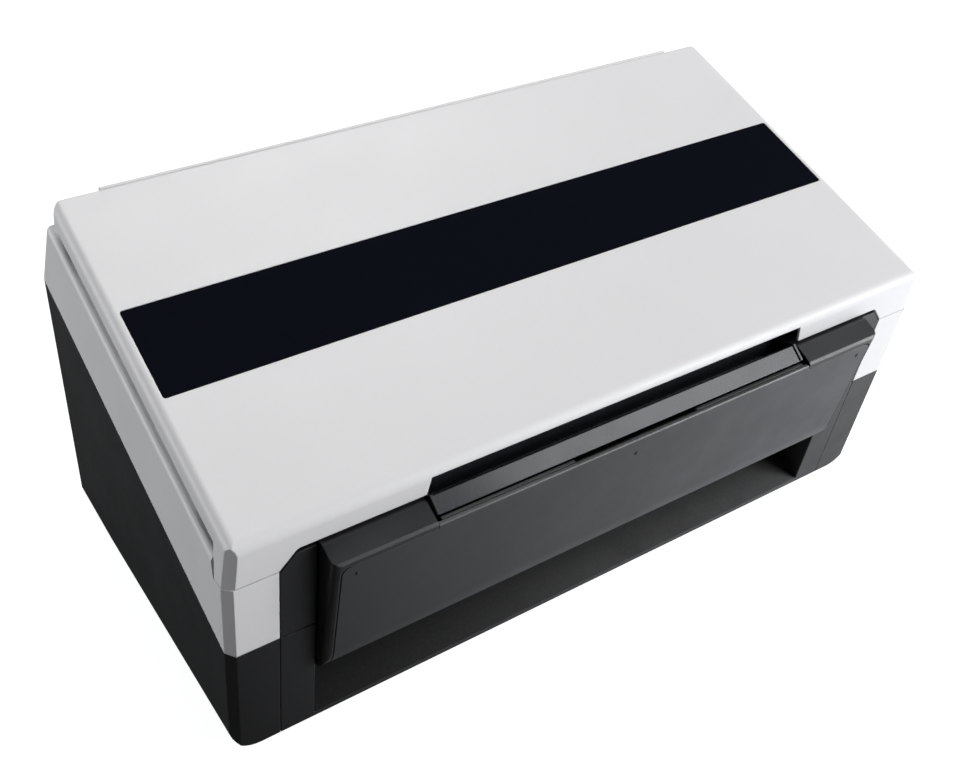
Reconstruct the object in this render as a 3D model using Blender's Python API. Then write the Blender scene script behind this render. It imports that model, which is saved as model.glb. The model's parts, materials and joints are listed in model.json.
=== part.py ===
"""Sheet fed document scanner, modelled as an assembly of separate pieces.

Frame: +X to the scanner's right as seen from the front, +Y to the rear, +Z up, metres.
The origin is on the table, under the middle of the scanner's box.
All driving dimensions below are in millimetres, in a working frame whose origin is the middle of the
casing's front bottom edge (y grows to the rear, z up from the casing's underside).
"""

import bpy
import bmesh
import math
from mathutils import Vector, Matrix

for old in list(bpy.data.objects):
    bpy.data.objects.remove(old, do_unlink=True)

# ---------------------------------------------------------------- driving dimensions (mm)
MM = 0.001
FOOT_H = 1.5            # how far the feet stand below the casing
Y_MID = 74.10           # middle of the depth, in the working frame
HALF_W = 158.0          # half width of the body
FRONT_LEAN = 0.16131    # the front face leans forward: y = -FRONT_LEAN * z
LID_Z0 = 117.39         # height of the lid's top plane above y = 0
LID_TAN = 0.3747        # slope of the lid, falling to the front
SEAM_Z0 = 60.45         # height of the white and black boundary above y = 0
SEAM_TAN = 0.3750
SEAM_GAP = 0.15         # half the gap between the white and black shells
REAR_TOP = (133.6, 154.2)   # rear edge of the ledge
REAR_SEAM = (158.8, 120.0)  # rear end of the boundary
REAR_FOOT = (173.7, 0.0)    # rear bottom edge
CHAMFER_X = 155.0       # where the front vertical chamfers begin
BOTTOM_R = 18.0         # inner lower corners in the front view
BOTTOM_EDGE = ((-60.0, 15.5), (130.0, 2.2), (220.0, 1.8))   # outer lower edges: (y, radius), rounder towards the front
RIM_Z = -1.0            # the casing's bottom rim, below its floor
WALL = 2.7
LEG_X = 139.3           # inner edge of the front legs
COLUMN_X = 125.6        # inner edge of the columns, the width of the front opening
LID_HALF_W = 156.5
LID_EDGE_R = 3.6
LID_SKIN = 2.2
LID_END = 137.9         # length of the lid's top plane behind y = 0, along the slope
HINGE = (134.0, -4.2)   # lid hinge axis in lid coordinates (along the slope, above the top plane)
STRIPE_S = (41.3, 80.6)
STRIPE_X = 151.6
PARTING_Z = 92.5        # lid skirt to leg
DOOR_PIVOT = (0.0, 40.0)
DOOR_X = 125.2
DOOR_R = 60.8           # the hidden top of the door is turned about its pivot
FACE_TOP = (-25.8, 95.2)    # top edge of the door's front face
FACE_LEAN = math.radians(13.0)
TRAY_X = 122.0
TRAY_PIVOT = (60.5, 5.2)    # in face coordinates (down the face, into the face)
BEND_T, BEND_R = 51.8, 23.0 # the lower end of the door's face and of the tray curves to the rear
LEDGE_D = -12.5         # ledge of the white shell under the lid, in lid coordinates
SHOULDER_X = 86.3
SIDE_X0, SIDE_X1 = 126.6, 129.1     # side frame plates
FEED_SHAFT = (93.44, 101.10)
REVERSE_SHAFT = (79.34, 112.29)
EXIT_SHAFT = (41.90, 39.90)
IDLER_SHAFT = (31.30, 48.30)
IDLER_PIN_R = 1.3
MOTOR_SHAFT = (112.0, 36.0)
FEED_R, REVERSE_R, EXIT_R, IDLER_R = 9.0, 8.0, 7.0, 5.0
PULLEY_R, MOTOR_PULLEY_R = 9.0, 5.0
BELT_X0, BELT_X1 = -138.5, -132.5

LID_TH = math.atan(LID_TAN)
CT, ST = math.cos(LID_TH), math.sin(LID_TH)


# ---------------------------------------------------------------- coordinates
def P(x, y, z):
    """Working frame in mm to the part's frame in metres."""
    return Vector((x, y - Y_MID, z + FOOT_H)) * MM


def lid(s, d):
    """Lid coordinates (along the slope, above the top plane) to y, z."""
    return (s * CT - d * ST, LID_Z0 + s * ST + d * CT)


def lid_sd(y, z):
    """y, z to lid coordinates."""
    return (y * CT + (z - LID_Z0) * ST, -y * ST + (z - LID_Z0) * CT)


def face(t, k):
    """Front face coordinates (down the face, into the face) to y, z."""
    sn, cs = math.sin(FACE_LEAN), math.cos(FACE_LEAN)
    return (FACE_TOP[0] + t * sn + k * cs, FACE_TOP[1] - t * cs + k * sn)


def front_y(z):
    return -FRONT_LEAN * z


def seam_z(y):
    return SEAM_Z0 + SEAM_TAN * y


def on_front(base, slope, off=0.0):
    """Where the line z = base + slope * y meets the front plane moved back by off."""
    y = (off - FRONT_LEAN * base) / (1 + FRONT_LEAN * slope)
    return (y, base + slope * y)


def arc(cx, cy, r, a0, a1, n):
    return [(cx + r * math.cos(math.radians(a0 + (a1 - a0) * i / n)),
             cy + r * math.sin(math.radians(a0 + (a1 - a0) * i / n))) for i in range(n + 1)]


def rounded(corners, n=3):
    """Corners as (x, y, radius), in order, with each corner rounded."""
    out = []
    m = len(corners)
    for i in range(m):
        x, y, r = corners[i]
        if r <= 0:
            out.append((x, y))
            continue
        p = Vector((x, y))
        a = (Vector(corners[i - 1][:2]) - p).normalized()
        b = (Vector(corners[(i + 1) % m][:2]) - p).normalized()
        half = a.angle(b) / 2
        c = p + (a + b).normalized() * (r / math.sin(half))
        p0 = p + a * (r / math.tan(half))
        p1 = p + b * (r / math.tan(half))
        v0, v1 = p0 - c, p1 - c
        turn = math.atan2(v0.x * v1.y - v0.y * v1.x, v0.dot(v1))
        for k in range(n + 1):
            q = Matrix.Rotation(turn * k / n, 2) @ v0
            out.append((c.x + q.x, c.y + q.y))
    return out


# ---------------------------------------------------------------- materials
def material(name, color, roughness, metallic=0.0):
    m = bpy.data.materials.new(name)
    m.use_nodes = True
    b = m.node_tree.nodes["Principled BSDF"]
    b.inputs["Base Color"].default_value = (*color, 1.0)
    b.inputs["Roughness"].default_value = roughness
    b.inputs["Metallic"].default_value = metallic
    return m


WHITE = material("shell_white", (0.76, 0.76, 0.77), 0.42)
BLACK = material("casing_black", (0.018, 0.018, 0.020), 0.45)
DARK = material("door_dark_grey", (0.040, 0.041, 0.045), 0.50)
STRIPE = material("stripe_navy", (0.008, 0.009, 0.014), 0.30)
GLOSS = material("gloss_black", (0.012, 0.013, 0.016), 0.15)
CHASSIS = material("chassis_grey", (0.12, 0.12, 0.125), 0.55)
STEEL = material("steel", (0.58, 0.58, 0.60), 0.30, 1.0)
RUBBER = material("rubber", (0.05, 0.05, 0.055), 0.85)
GLASS = material("glass", (0.55, 0.62, 0.62), 0.05)
BOARD = material("board_green", (0.02, 0.16, 0.07), 0.45)
BUTTON = material("button_grey", (0.45, 0.46, 0.48), 0.40)


# ---------------------------------------------------------------- shape helpers
def finish(name, bm, mat, smooth=None):
    bmesh.ops.remove_doubles(bm, verts=bm.verts, dist=1e-7)
    bmesh.ops.recalc_face_normals(bm, faces=bm.faces)
    me = bpy.data.meshes.new(name)
    bm.to_mesh(me)
    bm.free()
    ob = bpy.data.objects.new(name, me)
    bpy.context.scene.collection.objects.link(ob)
    if mat is not None:
        me.materials.append(mat)
    if smooth:
        me.shade_smooth()
        me.set_sharp_from_angle(angle=math.radians(smooth))
    return ob


def sweep(name, rings, mat, smooth=None):
    """A closed solid through a list of rings of points, with flat ends."""
    bm = bmesh.new()
    rows = [[bm.verts.new(p) for p in ring] for ring in rings]
    n = len(rows[0])
    for a, b in zip(rows, rows[1:]):
        for i in range(n):
            bm.faces.new((a[i], a[(i + 1) % n], b[(i + 1) % n], b[i]))
    bm.faces.new(list(reversed(rows[0])))
    bm.faces.new(rows[-1])
    return finish(name, bm, mat, smooth)


def prism_x(name, pts, x0, x1, mat=None, smooth=None):
    """Outline in y, z pushed along X."""
    return sweep(name, [[P(x, y, z) for y, z in pts] for x in (x0, x1)], mat, smooth)


def prism_y(name, pts, y0, y1, mat=None, smooth=None):
    return sweep(name, [[P(x, y, z) for x, z in pts] for y in (y0, y1)], mat, smooth)


def prism_z(name, pts, z0, z1, mat=None, smooth=None, lean=0.0):
    """Outline in x, y pushed up, moving forward by lean for each mm of height."""
    return sweep(name, [[P(x, y - lean * z, z) for x, y in pts] for z in (z0, z1)], mat, smooth)


def lid_prism(name, pts, d0, d1, mat=None, smooth=None):
    """Outline in x, s on the lid's plane, between two heights above it."""
    return sweep(name, [[P(x, *lid(s, d)) for x, s in pts] for d in (d0, d1)], mat, smooth)


def lid_along(name, pts, s0, s1, mat=None):
    """Outline in x, d pushed along the lid's slope."""
    return sweep(name, [[P(x, *lid(s, d)) for x, d in pts] for s in (s0, s1)], mat)


def face_prism(name, pts, k0, k1, mat=None, smooth=None):
    """Outline in x, t on the door's front face, between two depths into it."""
    return sweep(name, [[P(x, *face(t, k)) for x, t in pts] for k in (k0, k1)], mat, smooth)


def box(name, x0, x1, y0, y1, z0, z1, mat=None):
    return prism_x(name, [(y0, z0), (y1, z0), (y1, z1), (y0, z1)], x0, x1, mat)


def rect(a0, a1, b0, b1):
    return [(a0, b0), (a1, b0), (a1, b1), (a0, b1)]


def lathe_x(name, centre, steps, mat, n=24):
    """Turned piece on an axis along X. steps are (x, radius) from one end to the other."""
    y, z = centre
    rings = [[P(x, y + r * math.cos(2 * math.pi * i / n), z + r * math.sin(2 * math.pi * i / n))
              for i in range(n)] for x, r in steps]
    return sweep(name, rings, mat, 40)


def lathe_w(name, x, s, steps, mat, n=24):
    """Turned piece on an axis along the lid's normal. steps are (d, radius)."""
    rings = [[P(x + r * math.cos(2 * math.pi * i / n), *lid(s + r * math.sin(2 * math.pi * i / n), d))
              for i in range(n)] for d, r in steps]
    return sweep(name, rings, mat, 40)


def boolean(target, tools, op):
    for t in tools:
        m = target.modifiers.new(op.lower(), "BOOLEAN")
        m.operation = op
        m.solver = "EXACT"
        m.object = t
        bpy.context.view_layer.update()
        graph = bpy.context.evaluated_depsgraph_get()
        made = bpy.data.meshes.new_from_object(target.evaluated_get(graph))
        target.modifiers.clear()
        spent = target.data
        target.data = made
        made.name = target.name
        bpy.data.meshes.remove(spent)
        gone = t.data
        bpy.data.objects.remove(t, do_unlink=True)
        bpy.data.meshes.remove(gone)
    return target


def cut(target, *tools):
    return boolean(target, tools, "DIFFERENCE")


def join(target, *tools):
    return boolean(target, tools, "UNION")


def keep(target, *tools):
    return boolean(target, tools, "INTERSECT")


def tidy(ob, smooth=None):
    """Weld boolean leftovers and dissolve flat edges, so faces stay clean."""
    bm = bmesh.new()
    bm.from_mesh(ob.data)
    bmesh.ops.remove_doubles(bm, verts=bm.verts, dist=2e-6)
    bmesh.ops.dissolve_degenerate(bm, edges=bm.edges, dist=1e-6)
    bmesh.ops.dissolve_limit(bm, angle_limit=math.radians(0.2), verts=bm.verts, edges=bm.edges)
    bmesh.ops.triangulate(bm, faces=[f for f in bm.faces if len(f.verts) > 4])
    bmesh.ops.recalc_face_normals(bm, faces=bm.faces)
    bm.to_mesh(ob.data)
    bm.free()
    if smooth:
        ob.data.shade_smooth()
        ob.data.set_sharp_from_angle(angle=math.radians(smooth))
    return ob


def origin_at(ob, point):
    """Move the object's origin to a point of the joint's axis, leaving its shape in place."""
    ob.data.transform(Matrix.Translation(-point))
    ob.location = point
    return ob


def corner_cutters(half_x):
    """Wedges that chamfer the two front vertical corners."""
    out = []
    for side in (1, -1):
        pts = [(side * (CHAMFER_X - 9), -9), (side * (half_x + 9), -9), (side * (half_x + 9), half_x + 9 - CHAMFER_X)]
        out.append(prism_z("chamfer_tool", pts, -20, 140, lean=FRONT_LEAN))
    return out


def lid_corner_cutters():
    """Wedges for the lid's front corners. They spread downwards with the drafted sides of the lid."""
    out = []
    for side in (1, -1):
        rings = []
        for z in (80.0, 130.0):
            cx = 154.4 - (z - PARTING_Z) * 0.087
            y = front_y(z)
            rings.append([P(side * (cx - 9), y - 9, z), P(side * (cx + 14), y - 9, z), P(side * (cx + 14), y + 14, z)])
        out.append(sweep("lid_chamfer_tool", rings, None))
    return out


# ================================================================ casing
# lower casing: black tub, open at the top, with a hole in its underside for the base plate
f_low = on_front(SEAM_Z0 - SEAM_GAP, SEAM_TAN)
rear_low = (REAR_SEAM[0] + 0.02, REAR_SEAM[1] - SEAM_GAP)
rear_rim = REAR_FOOT[0] + (REAR_FOOT[0] - REAR_SEAM[0]) * -RIM_Z / REAR_SEAM[1]
lower = prism_x("lower_casing", [(front_y(RIM_Z), RIM_Z), (rear_rim, RIM_Z), rear_low, f_low], -HALF_W, HALF_W, BLACK)
views = []
for y, r in BOTTOM_EDGE:
    view = rounded([(-HALF_W, RIM_Z, r), (HALF_W, RIM_Z, r), (HALF_W, 140, 0), (-HALF_W, 140, 0)], 8)
    views.append([P(x, y, z) for x, z in view])
keep(lower, sweep("view_tool", views, None))
plan = rounded([(-HALF_W, -60, 0), (HALF_W, -60, 0), (HALF_W, 173.7, 1.6), (-HALF_W, 173.7, 1.6)], 3)
keep(lower, prism_z("plan_tool", plan, -5, 140, lean=(REAR_FOOT[0] - REAR_SEAM[0]) / 120.0))
cut(lower, *corner_cutters(HALF_W))
inner_x = HALF_W - WALL
inner_view = rounded([(-inner_x, WALL, BOTTOM_R - WALL), (inner_x, WALL, BOTTOM_R - WALL),
                      (inner_x, 150, 0), (-inner_x, 150, 0)], 4)
cavity = prism_x("cavity_tool", [(3.1 - FRONT_LEAN * -4, -4), (REAR_FOOT[0] - 2.2, -4), (REAR_SEAM[0] - 6.6, 150),
                                 (3.1 - FRONT_LEAN * 150, 150)], -170, 170)
keep(cavity, prism_y("inner_view_tool", inner_view, -80, 220))
cut(lower, cavity)
cut(lower, box("plate_hole_tool", -136.4, 136.4, -1, 162.4, -5, 6))
cut(lower, prism_x("front_gap_tool", [(-40, -5), (13, -5), (13, 130), (-40, 130)], -LEG_X, LEG_X))
cut(lower, box("jack_hole_tool", 38.0, 104.0, 150, 190, 8.0, 30.0))
tidy(lower, 30)

# base plate: closes the underside, under the rising floor of the front bezel
plate = box("base_plate", -136.0, 136.0, 11.4, 162.0, 0.0, 2.4, CHASSIS)
tidy(plate)

# feet: round rubber pads under the casing
for tag, sx, y in (("front_left", -1, 48.0), ("front_right", 1, 48.0), ("rear_left", -1, 148.0), ("rear_right", 1, 148.0)):
    ring = arc(sx * 100, y, 6.0, 0, 345, 23)
    top = arc(sx * 100, y, 6.5, 0, 345, 23)
    sweep("foot_" + tag, [[P(a, b, -FOOT_H) for a, b in ring], [P(a, b, -0.3) for a, b in top]], RUBBER, 40)

# front bezel: two lower columns and the exit floor rising to the rear between them
column = [(front_y(RIM_Z), RIM_Z), (8.0, RIM_Z), (8.0, 56.6), (front_y(56.6), 56.6)]
bezel = prism_x("front_bezel", [(-0.20, 1.2), (0.14, RIM_Z + 0.02), (4.2, RIM_Z + 0.02), (33.0, 15.34), (33.0, 33.0), (31.0, 31.0), (31.0, 18.9)],
                -126.2, 126.2, BLACK)
for sx in (-1, 1):
    a, b = sorted((sx * COLUMN_X, sx * (LEG_X - 0.3)))
    col = prism_x("column_tool", column, a, b)
    ca, cb = sorted((sx * 128.8, sx * 136.4))
    cut(col, box("column_core_tool", ca, cb, 3.2, 12, 3, 54))
    join(bezel, col)
    ba, bb = sorted((sx * 120, sx * 131.5))
    cut(bezel, lathe_x("pivot_bore_tool", DOOR_PIVOT, [(ba, 2.25), (bb, 2.25)], None, 16))
tidy(bezel)

# upper shell: white band with the front legs, the ledge under the lid and the rear wall
f_up = on_front(SEAM_Z0 + SEAM_GAP, SEAM_TAN)
ledge = lambda y: LID_Z0 + LEDGE_D / CT + LID_TAN * y
leg_top = PARTING_Z - 0.3
profile = [f_up, (REAR_SEAM[0] - 0.1, REAR_SEAM[1] + SEAM_GAP), REAR_TOP, (132.9, ledge(132.9)),
           (-6.4, ledge(-6.4)), (-6.4, leg_top), (front_y(leg_top), leg_top)]
upper = prism_x("upper_shell", profile, -HALF_W, HALF_W, WHITE)
sec = rounded([(-HALF_W, -120, 0), (HALF_W, -120, 0), (HALF_W, LEDGE_D + 0.1, 2.6), (-HALF_W, LEDGE_D + 0.1, 2.6)], 4)
keep(upper, lid_along("section_tool", sec, -60, 220))
REAR_LEAN = (REAR_SEAM[0] - REAR_TOP[0]) / (REAR_TOP[1] - REAR_SEAM[1]) + 0.003
plan_up = rounded([(-HALF_W, -60, 0), (HALF_W, -60, 0), (HALF_W, REAR_SEAM[0] + 120 * REAR_LEAN, 1.6),
                   (-HALF_W, REAR_SEAM[0] + 120 * REAR_LEAN, 1.6)], 3)
keep(upper, prism_z("plan_up_tool", plan_up, -5, 175, lean=REAR_LEAN))
cut(upper, *corner_cutters(HALF_W))
hollow = [(front_y(40) + 3.1, 40), (front_y(96) + 3.1, 96), (-3.4, 96), (-3.4, ledge(-3.4) - 2.4),
          (128.2, ledge(128.2) - 2.4), (157.5, 116.0), (157.5, 40)]
cut(upper, prism_x("hollow_tool", hollow, -inner_x, inner_x))
cut(upper, prism_x("top_hole_tool", [(front_y(62) + 3.2, 62), (front_y(89) + 3.2, 89), (-10.5, 92), (-10.5, 130),
                                     lid(118.0, 10), lid(118.0, -40)], -150.8, 150.8))
cut(upper, box("door_gap_tool", -LEG_X, LEG_X, -60, 20, 40, 130))
for sx in (-1, 1):
    a, b = sorted((sx * 150.5, sx * 153.3))
    join(upper, lid_along("neck_tool", [(a, LEDGE_D - 1.1), (b, LEDGE_D - 1.1), (b, -5.2), (a, -5.2)], 4.0, 116.0))
hinge_yz = lid(*HINGE)
cut(upper, prism_x("trough_tool", arc(hinge_yz[0], hinge_yz[1], 7.5, 0, 345, 23), -156.0, 156.0))
for sx in (-1, 1):
    a, b = sorted((sx * 150.7, sx * 152.6))
    s0, d0 = HINGE
    ear = [lid(s0 + 1.8 * math.cos(math.radians(t)), d0 + 1.8 * math.sin(math.radians(t))) for t in range(-45, 136, 20)] + \
          [lid(s0 - 11.1, d0 - 8.5), lid(s0 - 8.5, d0 - 11.1)]
    join(upper, prism_x("ear_tool", ear, a, b))
    ba, bb = sorted((sx * 149, sx * 155))
    cut(upper, lathe_x("ear_bore_tool", hinge_yz, [(ba, 1.27), (bb, 1.27)], None, 24))
tidy(upper, 30)

# side frames: plates that carry the shafts; their front ends are the upper columns
for tag, sx in (("left", -1), ("right", 1)):
    top = lambda y: LID_Z0 - 16.4 / CT + LID_TAN * y
    plate_pts = [(8.6, 3.0), (116.0, 3.0), (116.0, top(116.0)), (8.0, top(8.0)), (4.0, 98.3), (4.0, 57.2), (8.6, 57.2)]
    a, b = sorted((sx * SIDE_X0, sx * SIDE_X1))
    frame = prism_x(tag + "_side_frame", plate_pts, a, b, BLACK)
    col_pts = [(front_y(57.1), 57.1), (8.0, 57.1), (8.0, 98.2), (front_y(98.2), 98.2)]
    a, b = sorted((sx * (COLUMN_X + 0.1), sx * (LEG_X - 0.3)))
    col = prism_x("column_tool", col_pts, a, b)
    shoulder = [(sx * 140, 90.2), (sx * 130.6, 101.4), (sx * 140, 101.4)]
    cut(col, prism_y("slope_tool", shoulder, -40, 20))
    ca, cb = sorted((sx * 129.2, sx * 136.4))
    cut(col, box("core_tool", ca, cb, -4.6, 12, 60, 86))
    join(frame, col)
    tools = [(FEED_SHAFT, 3.25), (EXIT_SHAFT, 3.25), (REVERSE_SHAFT, 2.75)]
    if sx < 0:
        tools.append((MOTOR_SHAFT, 6.0))
    for centre, r in tools:
        a, b = sorted((sx * 120, sx * 131))
        cut(frame, lathe_x("bearing_hole_tool", centre, [(a, r), (b, r)], None, 24))
    tidy(frame)

# hinge pins and door pins, fixed in the casing
for tag, sx in (("left", -1), ("right", 1)):
    a, b = sorted((sx * 143.4, sx * 152.3))
    lathe_x("lid_hinge_pin_" + tag, hinge_yz, [(a, 1.2), (b, 1.2)], STEEL)
    a, b = sorted((sx * 122.8, sx * 131.0))
    lathe_x("door_pivot_pin_" + tag, DOOR_PIVOT, [(a, 2.0), (b, 2.0)], STEEL)

# ================================================================ paper path, fixed side
# centre line of the path from the feed mouth to the exit
PATH = [(110.0, 144.3), (90.0, 112.0), (34.0, 42.0), (24.0, 31.5)]


def offset_path(points, off):
    """Points moved sideways by off: positive is below and behind the paper."""
    out = []
    n = len(points)
    for i in range(n):
        dirs = []
        for j in (i - 1, i):
            if 0 <= j < n - 1:
                d = Vector(points[j]) - Vector(points[j + 1])
                dirs.append(d.normalized())
        d = sum(dirs, Vector((0, 0))).normalized()
        nrm = Vector((d.y, -d.x))
        scale = 1.0 / max(0.5, nrm.dot(Vector((dirs[0].y, -dirs[0].x))))
        q = Vector(points[i]) + nrm * off * scale
        out.append((q.x, q.y))
    return out


def along(a, b, p, along_mm, off):
    """A point on the line from a to b through p, moved along it (up positive) and below it."""
    d = (Vector(a) - Vector(b)).normalized()
    nrm = Vector((d.y, -d.x))
    q = Vector(p) + d * along_mm + nrm * off
    return (q.x, q.y)


LO = (PATH[1], PATH[2])
guide_pts = offset_path(PATH, 1.2) + list(reversed(offset_path(PATH, 3.4)))
guide = prism_x("lower_paper_guide", guide_pts, -126.2, 126.2, CHASSIS)


def slab(name, p, half_len, off0, off1, x0, x1, mat=None):
    pts = [along(*LO, p, half_len, off0), along(*LO, p, half_len, off1),
           along(*LO, p, -half_len, off1), along(*LO, p, -half_len, off0)]
    return prism_x(name, pts, x0, x1, mat)


cut(guide, slab("feed_slot_tool", (86, 107), 8.5, -2, 6, -21.0, 21.0))
for sx in (-1, 1):
    a, b = sorted((sx * 29.0, sx * 51.0))
    cut(guide, slab("exit_slot_tool", (36.5, 44.9), 7.0, -2, 6, a, b))
SCAN_LOW = (62.0, 77.0)
cut(guide, slab("scan_window_tool", SCAN_LOW, 7.4, -2, 6, -112.4, 112.4))
tidy(guide)
slab("lower_scan_glass", SCAN_LOW, 7.0, 1.2, 3.0, -112.0, 112.0, GLASS)
module = slab("lower_scan_module", SCAN_LOW, 9.0, 3.8, 17.0, -115.0, 115.0, CHASSIS)
cut(module, slab("module_hollow_tool", SCAN_LOW, 6.6, 3.0, 13.0, -112.5, 112.5))
tidy(module)

# deck cover: fixed top of the feeder under the lid, with the upper side of the feed chute
up_path = offset_path(PATH, -1.9)
deck_d0, deck_d1 = -13.5, -15.9
mouth = up_path[0]
t_mouth = (lid(0, deck_d0)[1] - 0, 0)
line = lambda d, y: LID_Z0 + d / CT + LID_TAN * y


def meet_deck(off_points, d):
    """Where the chute's upper face meets the plane at height d under the lid."""
    (y0, z0), (y1, z1) = off_points[0], off_points[1]
    k = (z0 - z1) / (y0 - y1)
    y = (LID_Z0 + d / CT - z1 + k * y1) / (k - LID_TAN)
    return (y, LID_Z0 + d / CT + LID_TAN * y)


corner = meet_deck(up_path, deck_d0)
inner_path = offset_path(PATH, -4.2)
inner_corner = meet_deck(inner_path, deck_d1)
bend = up_path[1]
bend_in = inner_path[1]
low_out = along(*LO, (70.0, 87.0), 0, -1.9)
low_in = along(*LO, (70.0, 87.0), 0, -4.2)
deck_front = 6.6
deck_pts = [(deck_front, line(deck_d0, deck_front)), corner, bend, low_out, low_in, bend_in, inner_corner,
            (deck_front, line(deck_d1, deck_front))]
deck = prism_x("deck_cover", deck_pts, -126.2, 126.2, DARK)
join(deck, lid_prism("deck_wings_tool", rect(-149.9, 149.9, lid_sd(deck_front + 0.8, line(deck_d0, deck_front))[0], 88.0),
                     deck_d1 + 0.1, deck_d0 - 0.1))
for sx in (-1, 1):
    a, b = sorted((sx * 126.8, sx * 149.9))
    join(deck, lid_prism("deck_cheek_tool", rect(a, b, 80.0, 116.5), deck_d1 + 0.2, deck_d0 - 0.2))
PANEL = (38.0, 144.0, 17.0, 49.0)      # x0, x1, s0, s1
cut(deck, lid_prism("panel_hole_tool", rect(PANEL[0] - 0.3, PANEL[1] + 0.3, PANEL[2] - 0.3, PANEL[3] + 0.3), -20, -5))
cut(deck, slab("reverse_slot_tool", (86, 107), 8.0, -8, 1, -17.0, 17.0))
tidy(deck)

# control panel with a display window, a status light and four buttons
panel = lid_prism("control_panel", rounded([(PANEL[0], PANEL[2], 2.0), (PANEL[1], PANEL[2], 2.0),
                                            (PANEL[1], PANEL[3], 2.0), (PANEL[0], PANEL[3], 2.0)], 2), -15.6, -13.3, GLOSS)
WINDOW = (44.0, 82.0, 25.0, 42.0)
cut(panel, lid_prism("window_tool", rect(WINDOW[0] - 0.25, WINDOW[1] + 0.25, WINDOW[2] - 0.25, WINDOW[3] + 0.25), -20, -10))
BUTTONS = (("function_up_button", 92.0, 39.5, 3.4), ("function_down_button", 92.0, 27.0, 3.4),
           ("scan_button", 110.0, 33.3, 6.2), ("power_button", 135.6, 33.3, 4.6))
for name, x, s, r in BUTTONS:
    cut(panel, lid_prism("button_hole_tool", arc(x, s, r + 0.35, 0, 345, 23), -20, -10))
cut(panel, lid_prism("light_hole_tool", arc(121.0, 41.0, 1.35, 0, 330, 11), -20, -10))
tidy(panel)
lid_prism("display_window", rect(*WINDOW), -14.9, -13.5, GLASS)
lathe_w("status_light", 121.0, 41.0, [(-15.4, 1.05), (-13.2, 1.05)], GLASS, 12)
for name, x, s, r in BUTTONS:
    b = lathe_w(name, x, s, [(-17.4, r + 1.0), (-16.6, r + 1.0), (-16.6, r), (-13.15, r), (-12.85, r - 0.4)],
                STEEL if name == "power_button" else BUTTON)
    origin_at(b, P(x, *lid(s, -13.0)))

# ================================================================ lid (input tray)
rear_y, rear_z = lid(LID_END, 0)
skirt_d = -7.0
leg_back = -6.8
lid_front_edge = on_front(LID_Z0, LID_TAN)
lid_pts = rounded([
    (front_y(PARTING_Z), PARTING_Z, 0),
    (lid_front_edge[0], lid_front_edge[1], 4.6),
    (rear_y, rear_z, 1.0),
    (*lid(LID_END, -7.6), 0),
    (*lid(LID_END - 2.4, -7.6), 0),
    (*lid(LID_END - 2.4, skirt_d), 0),
    (leg_back, line(skirt_d, leg_back), 0),
    (leg_back, PARTING_Z, 0)], 7)
cover = prism_x("lid_cover", lid_pts, -159.0, 159.0, WHITE)
# the sides are drafted: they spread by a tenth downwards, so the corner legs end flush with the white shell
top_w, low_w = LID_HALF_W - 0.7, LID_HALF_W - 0.7 + 6.0
lid_sec = rounded([(-low_w, -60, 0), (low_w, -60, 0), (top_w, 0, LID_EDGE_R), (-top_w, 0, LID_EDGE_R)], 7)
keep(cover, lid_along("lid_section_tool", lid_sec, -60, 220))
lid_plan = rounded([(-160.0, -80, 0), (160.0, -80, 0), (160.0, 60.0, 0), (LID_HALF_W, 100.0, 0), (LID_HALF_W, LID_END, 6.5),
                    (-LID_HALF_W, LID_END, 6.5), (-LID_HALF_W, 100.0, 0), (-160.0, 60.0, 0)], 7)
keep(cover, lid_prism("lid_plan_tool", lid_plan, -60, 20))
cut(cover, *lid_corner_cutters())
in_front = on_front(LID_Z0 - LID_SKIN / CT, LID_TAN, 2.4)
inside = [(front_y(60) + 2.4, 60), in_front, lid(LID_END - 2.2, -LID_SKIN), lid(LID_END - 2.2, -60)]
hollow = prism_x("lid_hollow_tool", inside, -(LID_HALF_W - 2.2), LID_HALF_W - 2.2)
in_plan = rounded([(-(LID_HALF_W - 2.2), -80, 0), (LID_HALF_W - 2.2, -80, 0), (LID_HALF_W - 2.2, LID_END - 2.2, 2.0),
                   (-(LID_HALF_W - 2.2), LID_END - 2.2, 2.0)], 3)
keep(hollow, lid_prism("in_plan_tool", in_plan, -80, 20))
cut(cover, hollow)
skirt = [(-LEG_X, 60), (-LEG_X, PARTING_Z), (-133.4, 99.5), (-132.0, 100.2), (-85.2, 100.2), (-83.9, 107.9),
         (86.4, 107.9), (88.0, 100.2), (132.0, 100.2), (133.4, 99.5), (LEG_X, PARTING_Z), (LEG_X, 60)]
cut(cover, prism_y("skirt_tool", skirt, -60, -10.5))
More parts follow.
